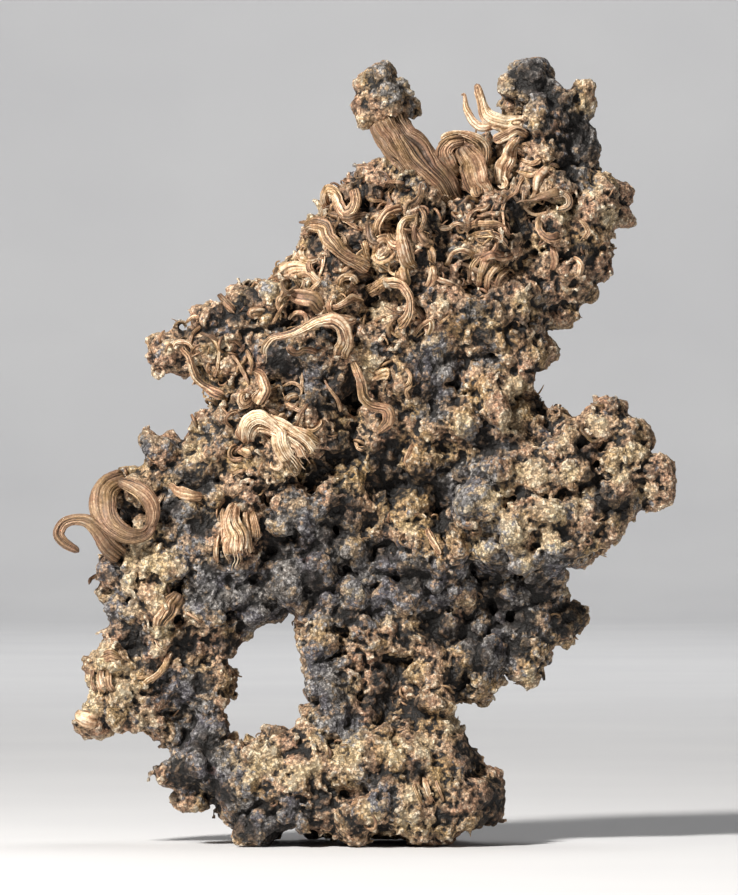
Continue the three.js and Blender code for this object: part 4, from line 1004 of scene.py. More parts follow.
# Where the skin lies further in than the CAD's, or further out if less than 0: x, z, radius,
# how far.
TRIMMED = [
    (-42, 64, 3.6, 5.2), (-32.5, 69.6, 2.8, 2.8), (-28.5, 71, 3, 3.4), (-36, 69.4, 1.3, -1.6),
    (-29.5, 88.5, 3, 1.8), (-25, 91.5, 2.5, 1.6), (-32, 86, 2.2, 1.6), (-35, 83, 2.8, 1.4),
    (-33.5, 78, 2.6, 2.4), (-17, 95.5, 3, 1.8), (-13, 99.7, 2.5, 1.9), (-9.4, 107.3, 3, 3.4),
    (-4.2, 111, 2.5, 1.4), (22, 124.6, 3, 2.3), (28.5, 130, 2.5, -1.8), (33, 128.2, 2, 1.2),
    (37, 127, 3, 3.5), (40, 123, 3, 2.5), (42.4, 112, 2, 1.2),
    (44.6, 109.6, 2, 1.4), (43.4, 100.5, 2, 0.6), (41.5, 95, 3, 1.4), (33, 87, 3.5, 2.3),
    (32.2, 72.4, 3, 2.7), (36, 73.6, 2.5, 0.8), (44.5, 73, 3.2, 3.2),
    (51.6, 59.5, 3, -0.7), (47.2, 53.4, 3, 0.9),
    (39.8, 48, 2.3, 1.8), (33.5, 43.2, 2, 1.4), (30, 28.3, 1.6, 1.0), (16, 21.5, 2.2, 1.4),
    (19.4, 15.4, 3, 2.1), (25.2, 6.6, 3.2, 3.0), (-21.2, 32.4, 1.6, -0.2), (-21.5, 18.6, 2, 1.8),
    (-11.2, 22.3, 3, 1.6), (-49, 24.5, 3.5, 2.6), (-47.6, 20, 3, 1.6), (-43, 17.5, 4, 1.0),
    (-44.8, 33, 2.6, -1.1), (-43, 39, 2, -0.2), (-43.4, 47, 2, -0.2),
    (-29.8, 20.6, 2.6, 2.8), (-34.6, 11.5, 3, 2.6), (-26.5, 4.6, 3, 2.2), (-30, 6.4, 3, 0.6),
    (36.6, 38.4, 3, -0.4), (33.4, 31.0, 3, 1.2), (26.5, 27.2, 3, -1.2), (-14.4, 37.4, 2, 0.8),
    (-22.6, 28, 2, -0.3), (-9, 25.6, 2.4, -1.0), (-30.2, 16.4, 2.0, -1.0), (18.4, 24.4, 2.6, -0.6),
    (22, 3, 3, -0.9), (-22.8, 23, 2, 1.4), (27.4, 44.4, 2.4, -2.4),
]
# Round dents pressed into the outline from beside it: x, z, radius.
DENTS = [
    (-44.5, 68, 9.8), (-30.9, 73, 6.2), (-33, 90.5, 5.7), (-40, 82, 5.8), (-34.3, 75, 5.0),
    (-11, 109.8, 4.1), (19.5, 125.6, 3.8), (40, 129.5, 5.2), (36.6, 84.8, 5.3), (46.5, 77, 5.8),
    (32.2, 75.2, 5.3), (53.4, 68.4, 5.4), (42, 44.5, 4.4), (35, 43, 3.1), (29.5, 9, 5.4),
    (-20.5, 20, 1.9), (-13, 22.6, 3.8), (-27.8, 0.6, 5.3), (-29.8, 20.5, 2.8), (-49.6, 33.4, 4.4),
    (-49.2, 45, 5.0), (-38.8, 12, 5.0), (48.4, 49.4, 6.2),
]
# Lumps that stand out past the CAD's outline: x, y, z, radius.
SPURS = [
    (-36.1, -2, 67.0, 1.5), (-36, -2, 69.2, 0.9), (27.5, -2, 129.2, 1.7), (43, -1, 104, 1.2),
    (46.3, -2, 67.2, 1.2),
]
# Where the growth is full of curls and short strands: x, z, radius, share.
CURLY_ZONES = [
    (-29, 80, 5, 0.8), (-20, 84, 5, 0.7), (-12, 91, 6, 0.7), (0, 94, 7, 0.8), (8, 101, 6, 0.7),
    (-2, 106, 5, 0.7), (16, 106, 5, 0.8), (21, 97, 5, 0.6), (28, 107, 5, 0.5), (-17, 71, 5, 0.6),
    (-9, 72, 5, 0.4), (-14, 62, 5, 0.4), (2, 76, 5, 0.4), (-34, 57, 4, 0.4), (5, 86, 5, 0.5),
]

# Facets of the mass from its core to its finished skin.
CORE_FACET = 0.6
CLUMP_FACET = 0.42
KNOB_FACET = 0.31
SKIN_FACET = 0.28
BACK_FACET = 0.44

SKIN_DEPTH = 0.9  # how far the lumps' middles are drawn in, for the growth that stands on them
CORE_DEPTH = 2.4  # how far below those the core's own skin lies
FRONT_DEPTH = 4.0  # how far back the finest grain goes
OVERLAP = 1.0  # how far the back's parts reach into the front's
LEAST_ISLAND = 1500  # corners of the smallest part that is kept
SHARP_EDGE = 55.0  # degrees from which an edge of the skin is sharp
BACK_FROM, BACK_TO = 0.5, 4.5  # where the front's patches give way to the back's, along y
BACK_PATCH, LOOSE_PATCH = 7.5, 4.2  # sizes of the slate on the back and of pale places and darker ones with painted shade
PALE_RISE = 0.35  # how much further out the palest places stand
DARK_PLACE_DEPTH = 1.2  # how much further in the core lies under the darkest places
HOLLOW_SIZE = 2.4
MOST_STRETCH = 1.6  # how far a knob's size departs at most, in spreads

# Each round of growth: about how far apart its knobs are, their least and greatest radius, how
# far they are sunk in, how uneven they are and the share of the skin that is left bare.
LUMPS = dict(gap=3.1, low=1.1, high=2.1, sunk=0.85, uneven=0.25, hollow=0.28)
CLUMPS = dict(gap=1.9, low=0.7, high=1.35, sunk=0.65, uneven=0.3, hollow=0.3)
SMALL_CLUMPS = dict(gap=1.25, low=0.45, high=0.85, sunk=0.3, uneven=0.35, hollow=0.22)
KNOBS = dict(gap=0.8, low=0.27, high=0.54, sunk=0.0, uneven=0.35)
GRAINS = dict(gap=0.48, low=0.17, high=0.31, sunk=-0.1, uneven=0.35)

# Tiny curls of the growth: least and greatest size, how far they are sunk in, how thick.
WORM_GAP = 1.7
WORMS = dict(low=0.6, high=1.5, sunk=0.3, thick=1.3)
GROWN_CURLS = dict(low=1.4, high=2.4, sunk=0.4)
LOOSE_CURLS = dict(low=0.6, high=1.6, sunk=0.2)

# Waves of unevenness: height, size and noise table of each.
CRAGS = ((1.3, 1.7, 1), (0.7, 0.9, 0))
ROUGHNESS = ((1.0, 0.5, 1), (0.6, 0.27, 2))
GROOVE_GAP, GROOVE_WIDTH, GROOVE_DEPTH = 2.2, 0.07, 0.5
ROUGH_HEIGHT = 0.2

# Relief: square millimetres over which the skin is evened out, and the height that counts as 1.
NEAR_REACH, NEAR_HEIGHT = 0.9, 0.16
FAR_REACH, FAR_HEIGHT = 8.0, 0.9


def knob_pattern(rounds):
    shape = bmesh.new()
    bmesh.ops.create_icosphere(shape, subdivisions=rounds, radius=1.0)
    return bpy.data.objects.new("knob", to_mesh(shape, "knob"))


def apart_from(points, x, z):
    """How far the points lie from a listed place, as seen from the front."""
    return np.hypot(points[:, 0] - x - PART_SHIFT[0], points[:, 2] - z)


def patch_amount(points, patches):
    """1 in the middle of a patch, one half at its radius, 0 far from all of them."""
    amount = np.zeros(len(points))
    for x, z, radius in patches:
        amount = np.maximum(amount, 1.0 - 0.5 * (apart_from(points, x, z) / radius))
    return amount


def zone_amount(points, zones):
    """Zones of different strength with soft edges, added where they overlap."""
    amount = np.zeros(len(points))
    for x, z, radius, strength in zones:
        amount += strength * np.exp(-0.7 * (apart_from(points, x, z) / radius) ** 2)
    return amount


def waves_at(points, waves):
    """Unevenness that swings about 0, summed from its waves."""
    swing = sum(height for height, _, _ in waves) / 2.0
    return sum(height * soft_noise(points, size, table) for height, size, table in waves) - swing


def dented(points):
    """The points, with those in a dent pressed out of it, away from its middle."""
    points = points.copy()
    for x, z, radius in DENTS:
        aside = points[:, (0, 2)] - (x + PART_SHIFT[0], z)
        apart = np.maximum(np.linalg.norm(aside, axis=1), 1e-6)
        short = np.maximum(radius + SKIN_DEPTH - apart, 0.0)
        points[:, (0, 2)] += aside * (short / apart)[:, None]
    return points


def slate_amount(points):
    """The patches and zones on the front, and patches of no fixed place on the back."""
    back = eased(points[:, 1], BACK_FROM, BACK_TO)
    loose = eased(soft_noise(points, BACK_PATCH), 0.42, 0.78)
    front = (0.12 + 0.36 * np.minimum(zone_amount(points, SLATE_ZONES), 1.1)
             + 0.42 * patch_amount(points, SLATE_PATCHES))
    return front * (1.0 - back) + loose * back


def shade_amount(points):
    """From -1 in deep places with painted shade to 1 in pale ones, and noise alone on the back."""
    front = 1.0 - eased(points[:, 1], BACK_FROM, BACK_TO)
    dark = eased(patch_amount(points, DARK_PLACES), 0.25, 0.8)
    pale = eased(patch_amount(points, PALE_PLACES), 0.25, 0.8)
    loose = soft_noise(points, LOOSE_PATCH, 1) - 0.5
    return np.clip((pale - 1.25 * dark) * front + 0.9 * loose, -1.0, 1.0)


def spots_on(mesh, gap, draw):
    """Places on a skin about one gap apart, and the skin's direction there."""
    points, outward = read_skin(mesh)
    order = draw.permutation(len(points))
    _, first = np.unique(np.floor(points[order] / gap).astype(np.int64), axis=0, return_index=True)
    picked = order[np.sort(first)]
    return points[picked], outward[picked]


def knobs_on(mesh, draw, pattern, gap, low, high, sunk, uneven, hollow=0.0):
    """Knobs of radii from low to high all over a skin, sunk into it by a share of their radius.
    The more uneven, the more of them are needles and flakes, though slate ones stay round.
    Hollow is the share of the skin that is left bare, in hollows a few millimetres wide."""
    spots, outward = spots_on(mesh, gap, draw)
    if hollow:
        height = soft_noise(spots, HOLLOW_SIZE, 2) - 0.11 * shade_amount(spots)
        bare = height < 0.5 - 0.55 * (0.5 - hollow)
        spots, outward = spots[~bare], outward[~bare]
    radius = low + (high - low) * draw.random(len(spots)) ** 1.3
    spread = uneven * (1.0 - 0.7 * eased(slate_amount(spots), 0.4, 0.6))
    sizes = radius[:, None] * np.exp(
        spread[:, None] * np.clip(
            draw.standard_normal((len(spots), 3)), -MOST_STRETCH, MOST_STRETCH))
    return scattered(
        pattern, spots - outward * (radius * sunk)[:, None], sizes,
        draw.random((len(spots), 3)) * 2.0 * math.pi)


def smoothed(mesh, rounds):
    """The mesh's points after rounds of smoothing."""
    def set_up(helper):
        smooth = helper.modifiers.new("smooth", "SMOOTH")
        smooth.factor = 0.5
        smooth.iterations = rounds
    return read_points(worked(mesh, set_up))


def mark_relief(mesh, facet):
    """Proud is near 0 down in a crevice and near 1 on a tip."""
    points, outward = read_skin(mesh)
    near = smoothed(mesh, round(NEAR_REACH / facet**2))
    far = smoothed(mesh, round(FAR_REACH / facet**2))
    fine = np.einsum("ij,ij->i", points - near, outward) / NEAR_HEIGHT
    broad = np.einsum("ij,ij->i", points - far, outward) / FAR_HEIGHT
    add_values(mesh, "proud", np.clip(0.5 + 0.24 * fine + 0.42 * broad, 0.0, 1.0))


def without_crumbs(mesh):
    """The mesh without the small parts that hang free in its hollows."""
    tree, whole, result = geometry_tree("crumbs")
    island = tree.nodes.new("GeometryNodeInputMeshIsland")
    count = tree.nodes.new("GeometryNodeAccumulateField")
    small = tree.nodes.new("FunctionNodeCompare")
    small.operation = "LESS_THAN"
    small.inputs["B"].default_value = LEAST_ISLAND
    cleared = tree.nodes.new("GeometryNodeDeleteGeometry")
    tree.links.new(island.outputs["Island Index"], count.inputs["Group ID"])
    tree.links.new(count.outputs["Total"], small.inputs["A"])
    tree.links.new(small.outputs["Result"], cleared.inputs["Selection"])
    tree.links.new(whole.outputs[0], cleared.inputs["Geometry"])
    tree.links.new(cleared.outputs[0], result.inputs[0])
    return worked_by(tree, mesh)


def break_up(mesh):
    """Turns round lumps into uneven crags with grooves between them."""
    points, outward = read_skin(mesh)
    middle_line = np.abs(soft_noise(points, GROOVE_GAP, 2) - 0.5)
    groove = np.maximum(1.0 - middle_line / GROOVE_WIDTH, 0.0)
    move_points(mesh, points + outward * (waves_at(points, CRAGS) - GROOVE_DEPTH * groove)[:, None])


def bare_growth(core, draw, spurs=()):
    """A spongy body on a core: lumps and clumps with hollows between them, and knobs and worms
    on the clumps. Each spur is one more lump: x, y, z, radius."""
    points, outward = read_skin(core)
    coarse = knob_pattern(2)
    shade = shade_amount(points)
    trimmed = SKIN_DEPTH + zone_amount(points, TRIMMED) - PALE_RISE * shade
    points = dented(points - outward * trimmed[:, None])
    move_points(core, points)
    lumps = knobs_on(core, draw, coarse, **LUMPS)
    clumps = knobs_on(core, draw, coarse, **CLUMPS)
    inner = CORE_DEPTH - DARK_PLACE_DEPTH * np.minimum(shade, 0.0) * (points[:, 1] < 0.0)
    move_points(core, points - outward * inner[:, None])
    grown = [core, lumps, clumps]
    if len(spurs):
        spurs = np.array(spurs)
        grown.append(scattered(coarse, spurs[:, :3] + PART_SHIFT,
                               np.repeat(spurs[:, 3:], 3, axis=1), np.zeros((len(spurs), 3))))
    lumpy = fused(joined(grown), CLUMP_FACET)
    break_up(lumpy)
    small = knobs_on(lumpy, draw, coarse, **SMALL_CLUMPS)
    clumpy = fused(joined([lumpy, small]), CLUMP_FACET)
    spots, facing_out = spots_on(clumpy, WORM_GAP, draw)
    tan = eased(slate_amount(spots), 0.55, 0.35) > draw.random(len(spots)) + 0.25
    worms = strewn(spots[tan], facing_out[tan], draw, **WORMS)
    curly = tan & (draw.random(len(spots)) < 0.3 * zone_amount(spots, CURLY_ZONES))
    curls = strewn(spots[curly], facing_out[curly], draw, **GROWN_CURLS)
    knobs = knobs_on(clumpy, draw, coarse, **KNOBS)
    return without_crumbs(fused(joined([clumpy, worms, curls, knobs]), KNOB_FACET))


def grained(body, facet, draw):
    """The body with grains and roughness all over it, in facets of that size."""
    grains = knobs_on(body, draw, knob_pattern(1), **GRAINS)
    skin = without_crumbs(fused(joined([body, grains]), facet))
    points, outward = read_skin(skin)
    move_points(skin, points + outward * (ROUGH_HEIGHT * waves_at(points, ROUGHNESS))[:, None])
    mark_relief(skin, facet)
    return skin


def core_of(node):
    """A CAD node's mesh in millimetres, its loose triangles merged."""
    shape = bmesh.new()
    shape.from_mesh(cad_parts[node].data)
    bmesh.ops.scale(shape, vec=(1.0 / MM,) * 3, verts=shape.verts)
    bmesh.ops.remove_doubles(shape, verts=shape.verts, dist=0.001)
    return fused(to_mesh(shape, "core"), CORE_FACET)


# The mass is cut into parts of a size that is easy to handle: lowest and highest x, y and z.
FAR = 90.0  # past everything
FRONT = (-FAR, FRONT_DEPTH)
BACK = (FRONT_DEPTH - OVERLAP, FAR)
FRONT_PARTS = {
    "foot_left": ((-FAR, -4.0), FRONT, (-FAR, 23.0)),
    "foot_right": ((-4.0, FAR), FRONT, (-FAR, 23.0)),
    "left_limb": ((-FAR, -16.0), FRONT, (23.0, 60.0)),
    "lower_body": ((-16.0, 12.0), FRONT, (23.0, 60.0)),
    "right_lobe": ((12.0, FAR), FRONT, (23.0, 56.0)),
    "right_shoulder": ((12.0, FAR), FRONT, (56.0, 84.0)),
    "left_shoulder": ((-FAR, -6.0), FRONT, (60.0, FAR * 2)),
    "upper_body": ((-6.0, 12.0), FRONT, (60.0, FAR * 2)),
    "crown": ((12.0, FAR), FRONT, (84.0, FAR * 2)),
}
BACK_PARTS = {
    "lower_back": ((-FAR, FAR), BACK, (-FAR, 45.0)),
    "middle_back": ((-FAR, FAR), BACK, (45.0, 75.0)),
    "upper_back": ((-FAR, FAR), BACK, (75.0, FAR * 2)),
}


ON_WALL = 0.001  # how near a wall a point of the cut lies


def mend_cut(mesh, slab):
    """Gives the new points along a cut their neighbours' relief."""
    points = read_points(mesh)
    cut = np.zeros(len(points), dtype=bool)
    for axis, walls in enumerate(slab):
        for wall in walls:
            cut |= np.abs(points[:, axis] - wall) < ON_WALL
    values = np.empty(len(points), dtype=np.float32)
    layer = mesh.attributes["proud"].data
    layer.foreach_get("value", values)
    edges = np.empty(len(mesh.edges) * 2, dtype=np.int32)
    mesh.edges.foreach_get("vertices", edges)
    edges = edges.reshape(-1, 2)
    for first, second in ((0, 1), (1, 0)):
        across = edges[cut[edges[:, first]] & ~cut[edges[:, second]]]
        values[across[:, first]] = values[across[:, second]]
    layer.foreach_set("value", values)


def cut_out(mesh, slab):
    """The part of a closed mesh inside a block, closed where it is cut."""
    shape = bmesh.new()
    bmesh.ops.create_cube(shape, size=1.0)
    bmesh.ops.scale(shape, vec=[high - low for low, high in slab], verts=shape.verts)
    bmesh.ops.translate(
        shape, vec=[(low + high) / 2 for low, high in slab], verts=shape.verts)
    block = hang_object("block", to_mesh(shape, "block"))

    def set_up(helper):
        cut = helper.modifiers.new("cut", "BOOLEAN")
        cut.operation = "INTERSECT"
        cut.solver = "MANIFOLD"
        cut.object = block
    made = worked(mesh, set_up)
    bpy.data.objects.remove(block)
    return made


def mark_colours(mesh):
    """Where the sponge is slate, darkened with painted shade or pale, ochre or rusty, for its finish.
    """
    points = read_points(mesh)
    add_values(mesh, "slate", slate_amount(points))
    add_values(mesh, "shade", shade_amount(points))
    add_values(mesh, "ochre", patch_amount(points, OCHRE_PATCHES))
    add_values(mesh, "rust", patch_amount(points, RUST_PATCHES))


# ---------- strands laid on the skin ----------

LAY_REACH = 0.6  # how far round a place the front of the skin is looked for
IN_FRONT = -60.0  # where the search starts, along y
SUNK_END = 1.3  # how far a strand's ends lie below the skin
KEPT_RISE = 0.55  # how much of its rise a strand keeps above the knobs


class Skin:
    """The mass's skin, for laying strands and curls on it."""

    def __init__(self, mesh):
        self.points, self.outward = read_skin(mesh)
        helper = hang_object("skin", mesh)
        self.tree = BVHTree.FromObject(helper, bpy.context.evaluated_depsgraph_get())
        bpy.data.objects.remove(helper)

    def front(self, x, z, reach=LAY_REACH, least=3):
        """How far back the front of the skin lies near there, or None beside the mass."""
        found = []
        for beside, above in ((0, 0), (reach, 0), (-reach, 0), (0, reach), (0, -reach)):
            start = Vector((x + beside, IN_FRONT, z + above))
            hit = self.tree.ray_cast(start, Vector((0.0, 1.0, 0.0)))[0]
            if hit is not None:
                found.append(hit.y)
        return min(found) if len(found) >= least else None


def laid_route(skin, width, rise, path):
    """Rows of a route that leaves the skin, stands above it by the rise and goes back in."""
    places = smooth_route([(x, 0.0, z) for x, z in path], 1.2)
    for reach, least in ((LAY_REACH, 3), (2.0, 1), (5.0, 1)):
        depths = [skin.front(x + PART_SHIFT[0], z, reach, least) for x, _, z in places]
        known = [i for i, depth in enumerate(depths) if depth is not None]
        if known:
            break
    depths = np.interp(range(len(depths)), known, [depths[i] for i in known])
    for _ in range(2):
        depths[1:-1] = 0.5 * depths[1:-1] + 0.25 * (depths[:-2] + depths[2:])
    rows = []
    for i, ((x, _, z), depth) in enumerate(zip(places, depths)):
        arch = math.sin(math.pi * i / (len(places) - 1)) ** 0.5
        taper = 0.7 + 0.3 * arch
        rows.append((x + PART_SHIFT[0], depth - KEPT_RISE * rise * arch + SUNK_END * (1.0 - arch), z,
                     width * taper, min(width, 1.4) * 0.75 * taper))
    return rows


# ---------- finished pieces ----------

STRAND_STEP = 0.42  # between rings along a strand

EDGE = 0.3  # how far inside the CAD's box the pressing begins
PRESSED = 0.75  # the share of the way back that it presses


def pressed_in(points):
    """The points, with what stands out past the CAD's box pressed most of the way back."""
    low, high = (np.array(corner) / MM for corner in cad_box)
    return points + PRESSED * (
        np.maximum(low + EDGE - points, 0.0) - np.maximum(points - high + EDGE, 0.0))


def finish_piece(name, mesh, material, slot, *nodes):
    """Brings a piece to metres, gives it its finish and lets it stand for its CAD nodes."""
    move_points(mesh, pressed_in(read_points(mesh)))
    mesh.transform(Matrix.Scale(MM, 4))
    mesh.materials.clear()
    mesh.materials.append(material)
    piece = hang_object(name, mesh)
    mesh.name = name
    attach(piece, "root")
    if nodes:
        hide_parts(*nodes)


def make_mass(body, draw, material):
    """The mass in parts, each closed: the front in fine grain and the back in a coarser one."""
    everywhere = (-FAR * 2, FAR * 2)
    for depths, facet, parts in (
            (FRONT, SKIN_FACET, FRONT_PARTS), (BACK, BACK_FACET, BACK_PARTS)):
        skin = grained(cut_out(body, (everywhere, depths, everywhere)), facet, draw)
        for name, slab in parts.items():
            part = cut_out(skin, slab)
            mend_cut(part, slab)
            mark_colours(part)
            part.shade_smooth()
            part.set_sharp_from_angle(angle=math.radians(SHARP_EDGE))
            finish_piece(name, part, material, SPONGE_SLOT, "silver_mass")


def make_horns(material):
    """The large horns, each in place of its CAD node and drawn along the same route."""
    for seed, (name, routes) in enumerate(HORNS.items()):
        look = HORN_LOOKS.get(name, {})
        parts = []
        for k, route in enumerate(routes):
            rows = np.array(route)
            rows[:, :3] += PART_SHIFT
            parts.append(draw_horn(rows, seed * 3 + k, **look))
        finish_piece(name + "_fibres", joined(parts), material, HORN_SLOT, name)


def make_strands(skin, material):
    """The listed strands, each a small horn that leaves the skin and goes back into it."""
    draw = np.random.default_rng(STRAND_SEED)
    parts = [
        draw_horn(laid_route(skin, width, rise, path), seed, fold=0.2 * width, fray=0.15,
                  rib=min(0.5, 0.26 + 0.1 * width), groove=0.06 + 0.07 * width, twist=0.2,
                  uneven=0.6, tarnish=0.7 * draw.random() - 0.2, most_ribs=8, step=STRAND_STEP)
        for seed, (width, rise, path) in enumerate(STRANDS, FIRST_STRAND_HORN)]
    finish_piece("small_strands", joined(parts), material, HORN_SLOT)


TANGLE = 100  # short strands that lie criss-cross in the curly zones
TANGLE_BOX = (-36.0, 40.0, 60.0, 124.0)  # lowest and highest x and z of where they start
TANGLE_PITCH = 1.0  # between the places along one
LEAST_BENDS, MOST_BENDS = 3, 8


def make_tangle(skin, material):
    """Short crooked strands laid at random on the front, in the curly zones but not on slate."""
    draw = np.random.default_rng(TANGLE_SEED)
    low_x, high_x, low_z, high_z = TANGLE_BOX
    parts = []
    while len(parts) < TANGLE:
        spot = np.array((low_x + (high_x - low_x) * draw.random(),
                         low_z + (high_z - low_z) * draw.random()))
        heading, bend = 2 * math.pi * draw.random(), 0.55 * draw.standard_normal()
        turn_back = draw.random() < 0.35
        path = [spot]
        for step in range(draw.integers(LEAST_BENDS, MOST_BENDS + 1)):
            heading += bend * (-1.0 if turn_back and step > 2 else 1.0)
            path.append(path[-1] + TANGLE_PITCH * np.array((math.cos(heading), math.sin(heading))))
        width, rise = 0.5 + 1.2 * draw.random() ** 1.5, 0.5 + 1.1 * draw.random()
        missed = any(skin.front(*place) is None for place in path)
        start = np.array([(spot[0], 0.0, spot[1])])
        is_plain = zone_amount(start, CURLY_ZONES)[0] < draw.random()
        if missed or is_plain or slate_amount(start)[0] > 0.3 + 0.25 * draw.random():
            continue
        parts.append(draw_horn(
            laid_route(skin, width, rise, path), FIRST_TANGLE_HORN + len(parts),
            fold=0.2 * width, fray=0.15, rib=0.4, groove=0.06 + 0.07 * width, uneven=0.8,
            fibres=0.2, tarnish=0.9 * draw.random() ** 1.3 - 0.1, most_ribs=6, step=STRAND_STEP))
    finish_piece("tangled_strands", joined(parts), material, HORN_SLOT)


CURL_TRIES = 11000  # places on the skin where a tiny curl may stand
CURL_RINGS, CURL_SIDES = 8, 5
CURL_TONE = 0.35
CURL_FACING = np.array((0.05, -1.0, 0.1))

# Tiny curls: rows of x, y, height above the skin and thickness, about 1 mm across.
TINY_CURLS = [
    [(-0.9, 0, -0.4, 0.34), (-0.7, 0, 0.5, 0.36), (0, 0, 0.95, 0.38), (0.7, 0, 0.5, 0.36),
     (0.9, 0, -0.4, 0.3)],
    [(-0.2, 0, -0.4, 0.4), (-0.3, 0, 0.6, 0.36), (0.1, 0.1, 1.3, 0.3), (0.7, 0.2, 1.35, 0.24),
     (0.85, 0.25, 0.85, 0.14)],
    [(-1.2, 0, -0.3, 0.4), (-0.6, 0.2, 0.5, 0.44), (0.2, 0.1, 0.45, 0.44), (0.9, -0.3, 0.5, 0.4),
     (1.4, -0.4, -0.3, 0.34)],
    [(0, 0, -0.3, 0.3), (0.1, 0, 0.5, 0.24), (-0.1, 0.1, 1.1, 0.2), (-0.3, 0.1, 1.7, 0.1)],
    [(0, 0, -0.4, 0.4), (0.3, 0, 0.5, 0.36), (-0.2, 0, 1.2, 0.34), (-0.8, 0.1, 0.9, 0.3),
     (-0.6, 0.2, 0.4, 0.24), (-0.25, 0.3, 0.7, 0.14)],
]


def curl_pattern(rows, thick):
    """A tiny curl of a few dozen faces."""
    rows = np.asarray(rows, dtype=float)
    route = Route(np.hstack((rows, rows[:, 3:])), CURL_FACING)

    def place(turn, share):
        middle, sideways, outwards, half, _ = route.at(share)
        half = half * thick * np.where((share < 0.01) | (share > 0.99), 0.3, 1.0)
        x, y = np.cos(turn) * half, np.sin(turn) * half
        spots = middle + sideways * x[:, None] + outwards * y[:, None]
        # Painted light and shade: a curl is lighter on one side and darker on the other.
        crest, tarnish = 0.5 + 0.35 * np.sin(turn), np.clip(0.9 - share * 1.4, 0.25, 1.0)
        return spots, crest, CURL_TONE, tarnish
    return bpy.data.objects.new("curl", bent_tube(CURL_RINGS, CURL_SIDES, place))


def strewn(spots, outward, draw, low, high, sunk, thick=1.0):
    """Tiny curls stood on a skin, of sizes from low to high."""
    parts = []
    kinds = draw.integers(0, len(TINY_CURLS), len(spots))
    for kind, rows in enumerate(TINY_CURLS):
        chosen = np.flatnonzero(kinds == kind)
        size = low + (high - low) * draw.random(len(chosen)) ** 1.5
        turns = []
        for direction, spin in zip(outward[chosen], draw.random(len(chosen))):
            lean = Vector(direction).to_track_quat("Z", "Y")
            turns.append((lean @ Matrix.Rotation(spin * 2 * math.pi, 3, "Z").to_quaternion())
                         .to_euler())
        parts.append(scattered(
            curl_pattern(rows, thick), spots[chosen] - outward[chosen] * sunk,
            np.repeat(size[:, None], 3, axis=1), turns))
    return joined(parts)


def make_tiny_curls(skin, material):
    """Hundreds of hooks, arches and twigs of thin wire, thickest in the upper half."""
    draw = np.random.default_rng(TINY_CURL_SEED)
    chosen = draw.permutation(len(skin.points))[:CURL_TRIES]
    spots = skin.points[chosen]
    share = 0.02 + 0.3 * np.minimum(zone_amount(spots, CURLY_ZONES), 1.0)
    share *= 1.0 - eased(slate_amount(spots), 0.35, 0.55)
    chosen = chosen[draw.random(len(chosen)) < share]
    curls = strewn(skin.points[chosen], skin.outward[chosen], draw, **LOOSE_CURLS)
    curls.flip_normals()  # a tube bent to its route is inside out
    finish_piece("tiny_curls", curls, material, HORN_SLOT)


# Lumps of the spongy knob on the broad horn's end: x, z, radius, front, back.
HORN_KNOB = [
    (3.2, 127.4, 2.9, -8.6, -1.2), (1.1, 125.6, 2.2, -7.8, -2.2), (0.3, 123.0, 2.0, -7.6, -2.4),
    (3.6, 123.6, 2.8, -9.0, -1.4), (6.1, 125.2, 2.3, -7.8, -2.2), (6.9, 122.0, 2.0, -8.0, -2.2),
    (0.5, 120.7, 1.5, -7.6, -3.2),
]


def make_knob(material):
    """The spongy knob on the end of the broad horn, grown as the mass is."""
    shape = bmesh.new()
    for x, z, radius, front, back in HORN_KNOB:
        place = Vector(PART_SHIFT + (x, (front + back) / 2, z))
        size = Matrix.Diagonal((radius, (back - front) / 2, radius, 1.0))
        bmesh.ops.create_icosphere(
            shape, subdivisions=3, radius=1.0, matrix=Matrix.Translation(place) @ size)
    draw = np.random.default_rng(KNOB_SEED)
    knob = grained(bare_growth(fused(to_mesh(shape, "knob"), CORE_FACET), draw), SKIN_FACET, draw)
    mark_colours(knob)
    knob.shade_smooth()
    finish_piece("horn_knob", knob, material, SPONGE_SLOT, "broad_horn")


# ---------- studio ----------

# Metres from here on.
CAMERA_PLACE = (0.00092, -1.243, 0.06592)
CAMERA_LENS, CAMERA_FILM = 300.0, 36.0  # these two in millimetres
AIM = (0.0, 0.0, 0.065)
BACKDROP_AIM = (0.0, 2.1, 0.25)
FLOOR_REACH = 1.6
BACKDROP_BEND, BACKDROP_FACETS = 0.5, 16
WHITE = (1.0, 1.0, 1.0)


def make_camera():
    camera = bpy.data.cameras.new("camera")
    camera.lens = CAMERA_LENS
    camera.sensor_width = CAMERA_FILM
    camera.clip_start = 0.05
    camera.clip_end = 20.0
    made = hang_object("camera", camera)
    made.location = CAMERA_PLACE
    made.rotation_euler = (math.radians(90.0), 0.0, 0.0)
    bpy.context.scene.camera = made


def drawn_on(shape, edges, by):
    """Draws a sheet on from its last edge, and gives the edge where it then ends."""
    made = bmesh.ops.extrude_edge_only(shape, edges=edges)["geom"]
    ends, edges = (
        [part for part in made if isinstance(part, kind)]
        for kind in (bmesh.types.BMVert, bmesh.types.BMEdge))
    bmesh.ops.translate(shape, verts=ends, vec=by)
    return edges


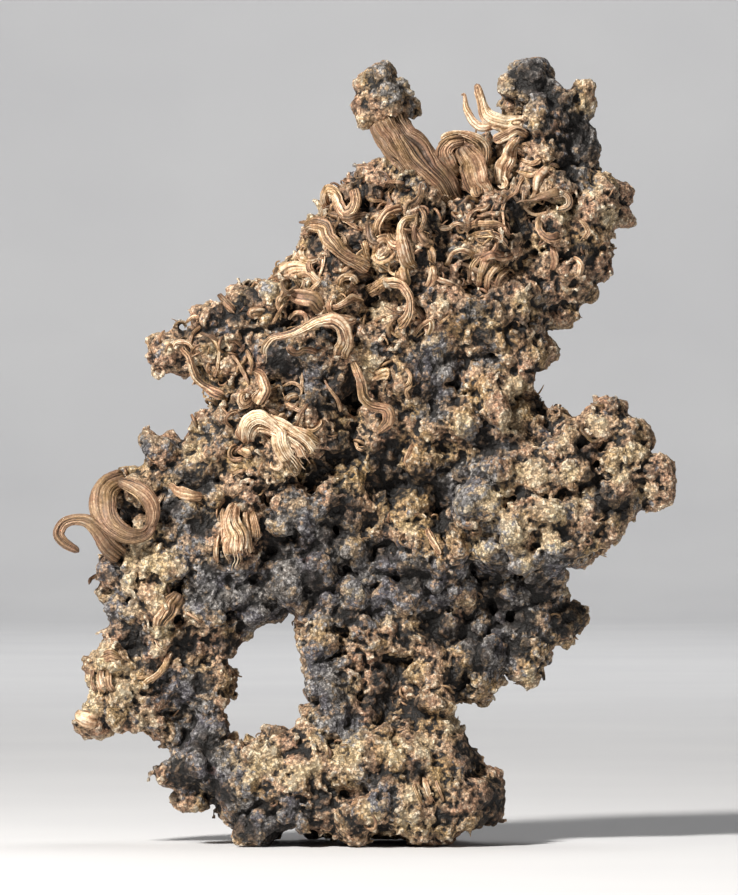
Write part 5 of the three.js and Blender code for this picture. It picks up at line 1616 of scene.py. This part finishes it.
def make_floor():
    """A pale floor that curves up into a backdrop."""
    make = Finish("pale_paper")
    tone = make.noise(90.0, detail=2.0)
    colour = make.ramp(tone, [(0.3, (0.70, 0.70, 0.71)), (0.7, (0.74, 0.74, 0.745))])
    paper = make.surface(colour, 0.85, tone, 0.01)
    shape = bmesh.new()
    bmesh.ops.create_grid(shape, x_segments=1, y_segments=1, size=FLOOR_REACH)
    last = [max(shape.edges, key=lambda edge: sum(vert.co.y for vert in edge.verts))]
    for i in range(BACKDROP_FACETS):
        low, high = (math.radians(90.0 * k / BACKDROP_FACETS) for k in (i, i + 1))
        last = drawn_on(shape, last, (
            0.0, BACKDROP_BEND * (math.sin(high) - math.sin(low)),
            BACKDROP_BEND * (math.cos(low) - math.cos(high))))
    drawn_on(shape, last, (0.0, 0.0, FLOOR_REACH))
    face_outwards(shape)
    floor = hang_object("floor", to_mesh(shape, "floor"))
    floor.data.materials.append(paper)


def add_light(name, place, size, power, colour, target=AIM):
    light = bpy.data.lights.new(name, "AREA")
    light.shape = "DISK"
    light.size = size
    light.energy = power
    light.color = colour
    made = hang_object(name, light)
    made.location = place
    aim = Vector(target) - Vector(place)
    made.rotation_euler = aim.to_track_quat("-Z", "Y").to_euler()


def make_lights():
    add_light("key", (-0.42, -0.5, 0.55), 0.13, 11.5, (1.0, 0.97, 0.93))
    add_light("fill", (0.5, -0.6, 0.2), 0.4, 0.35, (1.0, 0.98, 0.96))
    add_light("top", (0.15, 0.1, 0.7), 0.3, 1.2, WHITE)
    add_light("backdrop_light", (0.0, 0.8, 1.1), 0.8, 12.0, WHITE, BACKDROP_AIM)
    world = bpy.data.worlds.new("studio")
    world.use_nodes = True
    background = world.node_tree.nodes["Background"]
    background.inputs["Color"].default_value = (0.9, 0.92, 0.95, 1.0)
    background.inputs["Strength"].default_value = 0.03
    bpy.context.scene.world = world
    bpy.context.scene.view_settings.view_transform = "Standard"


make_camera()
make_floor()
make_lights()
sponge_silver = sponge_finish()
horn_silver = horn_finish()
growth = np.random.default_rng(GROWTH_SEED)
body = bare_growth(core_of("silver_mass"), growth, SPURS)
skin = Skin(body)
make_strands(skin, horn_silver)
make_tangle(skin, horn_silver)
make_tiny_curls(skin, horn_silver)
make_horns(horn_silver)
make_knob(sponge_silver)
make_mass(body, growth, sponge_silver)
